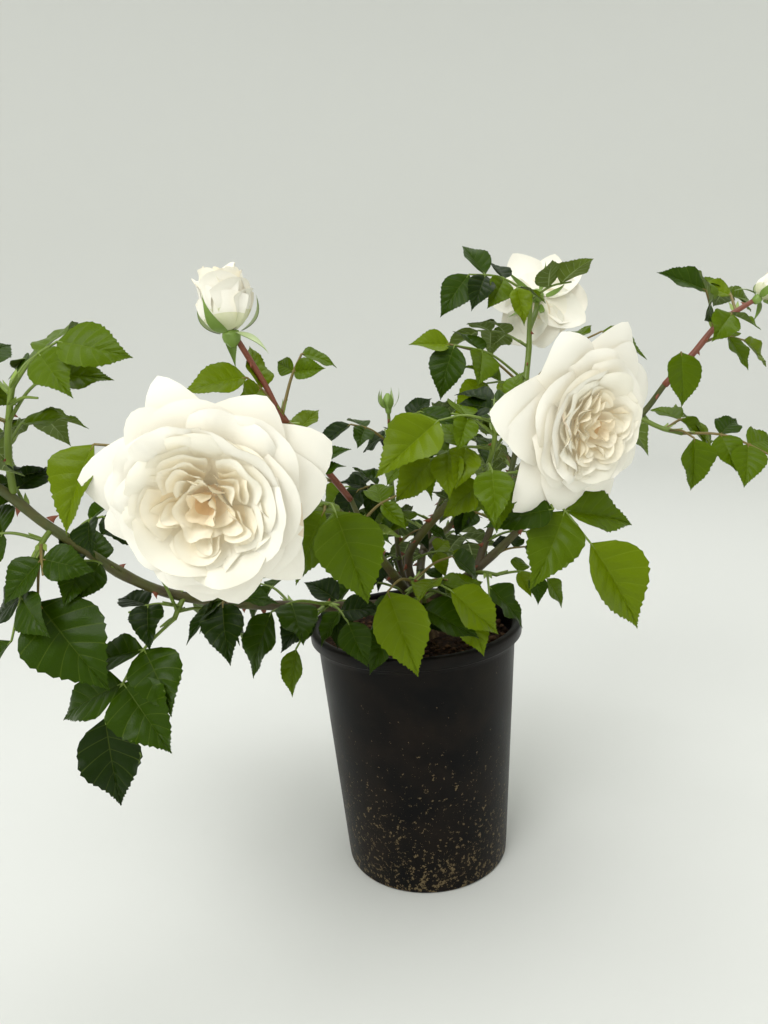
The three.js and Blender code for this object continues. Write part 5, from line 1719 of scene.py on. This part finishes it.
class RoseBushMakeTwigs(bpy.types.Operator):
    """Grow the stems, leaf stalks and stipules"""
    bl_idname = "rose_bush.make_twigs"
    bl_label = "Make Twigs"

    def execute(self, context):
        settings = context.scene.rose_bush_wood
        chance = np.random.default_rng(SEEDS["stalks"])
        pile = Pile()
        for name, spray in SPRAYS.items():
            line = stem_line(name)
            radii = np.linspace(*spray["radii"], len(line))
            nodes = sorted({row[0] for row in spray["leaves"]})
            relief = cane_relief(len(line), SHOOT_SIDES, SEEDS["stem_relief"] + spray["seed"],
                                 0.02, nodes)
            pile.add(*tube(line, radii, SHOOT_SIDES, relief), 1 if name in NEW_SHOOTS else 0)
        for leaf in grown_bush():
            line = smooth_line(leaf["stalk"], STALK_STEPS)
            share = np.linspace(0, 1, len(line))
            radii = 1.25 - 0.5 * share + 0.5 * np.exp(-share / 0.04)
            red = leaf["spray"] in NEW_SHOOTS or chance.uniform() < RED_STALKS
            pile.add(*tube(line, radii, STALK_SKIN_SIDES), 2 if red else 0)
            for leaflet in leaf["leaflets"]:
                root = leaflet["root"]
                if leaflet["place"] < 1:
                    root = on_curve(leaf["stalk"], leaflet["place"])
                ahead = leaflet["forward"] * SHORT_STALK["length"] * leaflet["length"]
                short = np.array([root, root + ahead])
                pile.add(*tube(short, SHORT_STALK["radii"], SHORT_STALK["sides"]),
                         2 if red else 0)
            for hand in (-1, 1):
                for points, turned in self.stipule(line, hand):
                    faces = grid_faces(6, 3)
                    pile.add(points, faces[:, ::-1] if turned else faces, 3)
        pile.piece("twigs", [green_shoot("shoot_skin", settings.shoot),
                             green_shoot("new_shoot_skin", settings.new_shoot),
                             green_shoot("red_stalk_skin", mixed(settings.shoot,
                                                                 settings.new_shoot, 0.55)),
                             green_shoot("stipule_skin", mixed(settings.shoot,
                                                               linear("#9db653"), 0.5))],
                   "foliage", list(SPRAYS))
        return {"FINISHED"}

    @staticmethod
    def stipule(line, hand):
        """The wing along the foot of a leaf stalk, with a free point: its width rises evenly
        and falls to nothing past the point where it leaves the stalk."""
        ahead = unit(line[2] - line[0])
        side = unit(np.cross(vec(0, 0, 1), ahead)) * hand
        t = np.linspace(0, 1, 6)[:, None]
        s = np.array([0.0, 0.5, 1.0])[None, :]
        inner = 1.0 + 2.4 * np.clip((t - 0.6) / 0.4, 0, 1) ** 1.5
        width = STIPULE_WIDTH * np.sin(np.pi * np.clip(t * 0.9 + 0.1, 0, 1)) ** 0.7
        points = (line[0] + ahead * (STIPULE_LENGTH * t + 0 * s)[..., None]
                  + side * (inner + width * s)[..., None]
                  + vec(0, 0, 1) * (0.5 + 0.9 * s * t)[..., None])
        return [(points, hand < 0), (points - vec(0, 0, STIPULE_THICKNESS), hand > 0)]


class RoseBushMakeLeaves(bpy.types.Operator):
    """Grow the leaflets, with veins, swollen blades and toothed margins"""
    bl_idname = "rose_bush.make_leaves"
    bl_label = "Make Leaves"

    def execute(self, context):
        settings = context.scene.rose_bush_leaf
        materials = self.materials(settings)
        count = len(LEAF_SHADES)
        depth = settings.thickness / MILLIMETRE
        upper = grid_faces(len(MIDRIB_PLACES), 2 * len(UPPER_STATIONS) - 1)[:, ::-1]
        under = grid_faces(len(MIDRIB_PLACES), 2 * len(UNDER_STATIONS) - 1)
        for region, sprays in REGIONS.items():
            pile = Pile()
            chance = np.random.default_rng(SEEDS["leaves"] + len(region))
            for leaf in grown_bush():
                if leaf["spray"] not in sprays:
                    continue
                # The spray's shares deal deeper greens as painted shade and the lime as painted
                # light.
                shares_with_painted_shade = np.array(TONES_WITH_PAINTED_SHADE[leaf["spray"]], float)
                shade = int(chance.choice(len(shares_with_painted_shade), p=shares_with_painted_shade / shares_with_painted_shade.sum()))
                brightest = int(np.flatnonzero(shares_with_painted_shade[:BRONZE])[-1])
                for leaflet in leaf["leaflets"]:
                    look = leaf_look(leaflet, chance, leaf["stalk"], settings)
                    own = int(np.clip(shade + chance.choice([-1, 0, 0, 0, 1]), 0, brightest))
                    own = shade if shade == BRONZE else own
                    pile.add(leaf_surface(look, UPPER_STATIONS, 0.0, settings), upper,
                             leaf_kinds(UPPER_STATIONS, own, count + own))
                    pile.add(leaf_surface(look, UNDER_STATIONS, depth, settings), under,
                             leaf_kinds(UNDER_STATIONS, 2 * count + own, 3 * count))
            pile.piece(region, materials, "foliage", sprays)
        return {"FINISHED"}

    @staticmethod
    def materials(settings):
        """Blades, then veins, then under faces in the order of the shades, and last the veins
        of the under face."""
        shades = {name: getattr(settings, name) for name in LEAF_SHADES}
        pale_vein, pale_under = linear("#a3b640"), linear("#7c8f48")
        found = [leaf_blade("leaf_" + name, colour, 0.30, 0.10) for name, colour in shades.items()]
        found += [leaf_blade("vein_" + name, mixed(colour, pale_vein, 0.07), 0.40, 0.11)
                  for name, colour in shades.items()]
        found += [leaf_blade("leaf_underside_" + name, mixed(colour, pale_under, 0.42), 0.62,
                             0.25) for name, colour in shades.items()]
        found.append(leaf_blade("vein_underside", linear("#94a566"), 0.6))
        return found


class RoseBushMakeBlooms(bpy.types.Operator):
    """Open the blooms and the half-open buds petal by petal"""
    bl_idname = "rose_bush.make_blooms"
    bl_label = "Make Petals"

    def execute(self, context):
        settings = context.scene.rose_bush_bloom
        shades = [petal_skin("petal_" + name, getattr(settings, name)) for name in PETAL_SHADES]
        materials = shades + [petal_skin("petal_faded", settings.scorched),
                              petal_skin("petal_tinged", settings.tinged)]
        for piece, is_front in (("petals_front", True), ("petals_back", False)):
            pile = Pile()
            nodes = []
            for name, spray in SPRAYS.items():
                flower = spray.get("flower")
                if not flower or flower["kind"] == "bud" or (name in FRONT_FLOWERS) != is_front:
                    continue
                nodes.append(name)
                chance = np.random.default_rng(SEEDS["petals"] + spray["seed"])
                place = flower_frame(spray["points"][-1], flower)
                add_petals(pile, place, flower, ROSETTE_SHARES.get(name, 1.0), chance, settings,
                           shades)
            pile.piece(piece, materials, "foliage", nodes)
        return {"FINISHED"}


class RoseBushMakeBuds(bpy.types.Operator):
    """Make the green buds, and the hips and sepals under every flower"""
    bl_idname = "rose_bush.make_buds"
    bl_label = "Make Buds and Sepals"

    def execute(self, context):
        pile = Pile()
        nodes = []
        for name, spray in SPRAYS.items():
            flower = spray.get("flower")
            if not flower:
                continue
            nodes.append(name)
            chance = np.random.default_rng(SEEDS["calyxes"] + spray["seed"])
            place = flower_frame(spray["points"][-1], flower)
            stem = spray["radii"][1]
            size = flower["radius"]
            if flower["kind"] == "bloom":
                hip = {"profile": [[stem, -13], [stem + 1.6, -11], [6.0, -6.5], [6.4, -3.5],
                                   [5.2, -0.5], [3.5, 1.0]], "top_radius": 5.0,
                       "top_height": -0.8}
                sepals = {"angles": [(100, 150), (105, 165), (95, 140), (110, 170), (100, 155)],
                          "turn": 36, "length": 30.0, "half_width": 3.6}
            elif flower["kind"] == "opening":
                hip = {"profile": [[stem, -0.62 * size], [stem + 1, -0.56 * size],
                                   [0.27 * size, -0.42 * size], [0.30 * size, -0.27 * size],
                                   [0.26 * size, -0.12 * size], [0.1 * size, -0.06 * size]],
                       "top_radius": 0.25 * size, "top_height": -0.16 * size}
                sepals = {"angles": [(78, -6), (96, 168), (74, -10), (82, -4), (100, 150)],
                          "turn": 20, "length": 1.5 * size, "half_width": 0.30 * size}
            else:
                egg = [[0.10, -1.5], [0.30, -1.45], [0.50, -1.15], [0.55, -0.8], [0.62, -0.5],
                       [0.92, 0.1], [1.0, 0.6], [0.92, 1.1], [0.62, 1.7], [0.25, 2.2]]
                hip = {"profile": [[r * size, h * size] for r, h in egg],
                       "top_radius": 0.6 * size, "top_height": -0.5 * size}
                sepals = {"angles": [(48, -16), (44, -20), (50, -14), (46, -22), (44, -12)],
                          "turn": 0, "length": 3.6 * size, "half_width": 0.62 * size}
            add_calyx(pile, place, hip, sepals, chance)
        pile.piece("buds_and_sepals",
                   [green_shoot("sepal_outer_skin", linear("#7f9c45")),
                    green_shoot("sepal_inner_skin", linear("#a9b983"))], "foliage", nodes)
        return {"FINISHED"}


class RoseBushMakeStage(bpy.types.Operator):
    """Lay the pale floor and set the soft lights and the camera"""
    bl_idname = "rose_bush.make_stage"
    bl_label = "Make Stage"

    def execute(self, context):
        settings = context.scene.rose_bush_stage
        scene = context.scene
        angle = angles_round(FLOOR_SIDES)[None, :]
        turn = np.radians(np.linspace(0, 90, FLOOR_BEND))
        # A level floor that bends up into a wall all round, in metres.
        radius = np.concatenate([[0.002, 0.3, 0.8, 1.5], 2.2 + np.sin(turn), [3.2]])[:, None]
        height = np.concatenate([[0.0] * 4, 1 - np.cos(turn), [2.8]])[:, None]
        points = np.stack(np.broadcast_arrays(radius * np.cos(angle), radius * np.sin(angle),
                                              height + 0 * angle), -1).reshape(-1, 3)
        mesh = bpy.data.meshes.new("floor")
        mesh.from_pydata(points, [], grid_faces(len(radius), FLOOR_SIDES, closed=True))
        mesh.polygons.foreach_set("use_smooth", np.ones(len(mesh.polygons), bool))
        material, tree, shader = new_material("pale_matt_floor", settings.floor, 0.85, 0.2)
        dent(tree, shader, grain(tree, 0.004, 3.0), 0.05)
        mesh.materials.append(material)
        floor = bpy.data.objects.new("floor", mesh)
        scene.collection.objects.link(floor)

        scene.view_settings.view_transform = "Standard"
        world = bpy.data.worlds.new("soft_surround")
        scene.world = world
        world.use_nodes = True
        sky = world.node_tree.nodes["Background"]
        sky.inputs["Color"].default_value = (*settings.sky, 1)
        sky.inputs["Strength"].default_value = SKY_STRENGTH

        for name, (place, size, share) in LIGHTS.items():
            light = bpy.data.lights.new(name, "AREA")
            light.size, light.energy = size, settings.key * share
            lamp = bpy.data.objects.new(name, light)
            lamp.location = place
            toward = Vector(LIGHTS_AIM) - Vector(place)
            lamp.rotation_euler = toward.to_track_quat("-Z", "Y").to_euler()
            scene.collection.objects.link(lamp)

        camera = bpy.data.cameras.new("camera")
        camera.sensor_fit, camera.sensor_height = "VERTICAL", SENSOR_HEIGHT
        camera.lens = settings.lens
        view = bpy.data.objects.new("camera", camera)
        view.rotation_mode = "XYZ"
        view.matrix_world = self.camera_place()
        scene.collection.objects.link(view)
        scene.camera = view
        return {"FINISHED"}

    @staticmethod
    def camera_place():
        """The camera's place, looking down by its pitch and leaning by its roll."""
        pitch, roll = math.radians(CAMERA["pitch"]), math.radians(CAMERA["roll"])
        ahead = vec(0, math.cos(pitch), -math.sin(pitch))
        level = vec(1, 0, 0)
        upright = np.cross(level, ahead)
        right = level * math.cos(roll) - upright * math.sin(roll)
        up = level * math.sin(roll) + upright * math.cos(roll)
        place = vec(*CAMERA["place"]) * MILLIMETRE
        columns = np.stack([right, up, -ahead, place], 1)
        return Matrix([*columns.tolist(), [0, 0, 0, 1]])


class RoseBushPanel(bpy.types.Panel):
    """Buttons and settings of the rose bush"""
    bl_idname = "VIEW3D_PT_rose_bush"
    bl_label = "Rose Bush"
    bl_space_type = "VIEW_3D"
    bl_region_type = "UI"
    bl_category = "Rose Bush"

    def draw(self, context):
        for name, group in SETTINGS.items():
            box = self.layout.box()
            box.label(text=group.__doc__)
            for key in group.__annotations__:
                box.prop(getattr(context.scene, name), key)
        for operator in OPERATORS:
            self.layout.operator(operator.bl_idname)


SETTINGS = {
    "rose_bush_pot": RoseBushPotSettings, "rose_bush_wood": RoseBushWoodSettings,
    "rose_bush_leaf": RoseBushLeafSettings, "rose_bush_bloom": RoseBushBloomSettings,
    "rose_bush_stage": RoseBushStageSettings,
}
OPERATORS = (RoseBushMakePot, RoseBushMakeCompost, RoseBushMakeWood, RoseBushMakeThorns,
             RoseBushMakeTwigs, RoseBushMakeLeaves, RoseBushMakeBlooms, RoseBushMakeBuds,
             RoseBushMakeStage)


def register():
    for kind in (*SETTINGS.values(), *OPERATORS, RoseBushPanel):
        bpy.utils.register_class(kind)
    for name, group in SETTINGS.items():
        setattr(bpy.types.Scene, name, bpy.props.PointerProperty(type=group))


def unregister():
    for name in SETTINGS:
        delattr(bpy.types.Scene, name)
    for kind in reversed((*SETTINGS.values(), *OPERATORS, RoseBushPanel)):
        bpy.utils.unregister_class(kind)


def main():
    register()
    bpy.ops.rose_bush.make_pot()
    bpy.ops.rose_bush.make_compost()
    bpy.ops.rose_bush.make_wood()
    bpy.ops.rose_bush.make_thorns()
    bpy.ops.rose_bush.make_twigs()
    bpy.ops.rose_bush.make_leaves()
    bpy.ops.rose_bush.make_blooms()
    bpy.ops.rose_bush.make_buds()
    bpy.ops.rose_bush.make_stage()


if __name__ == "__main__":
    main()
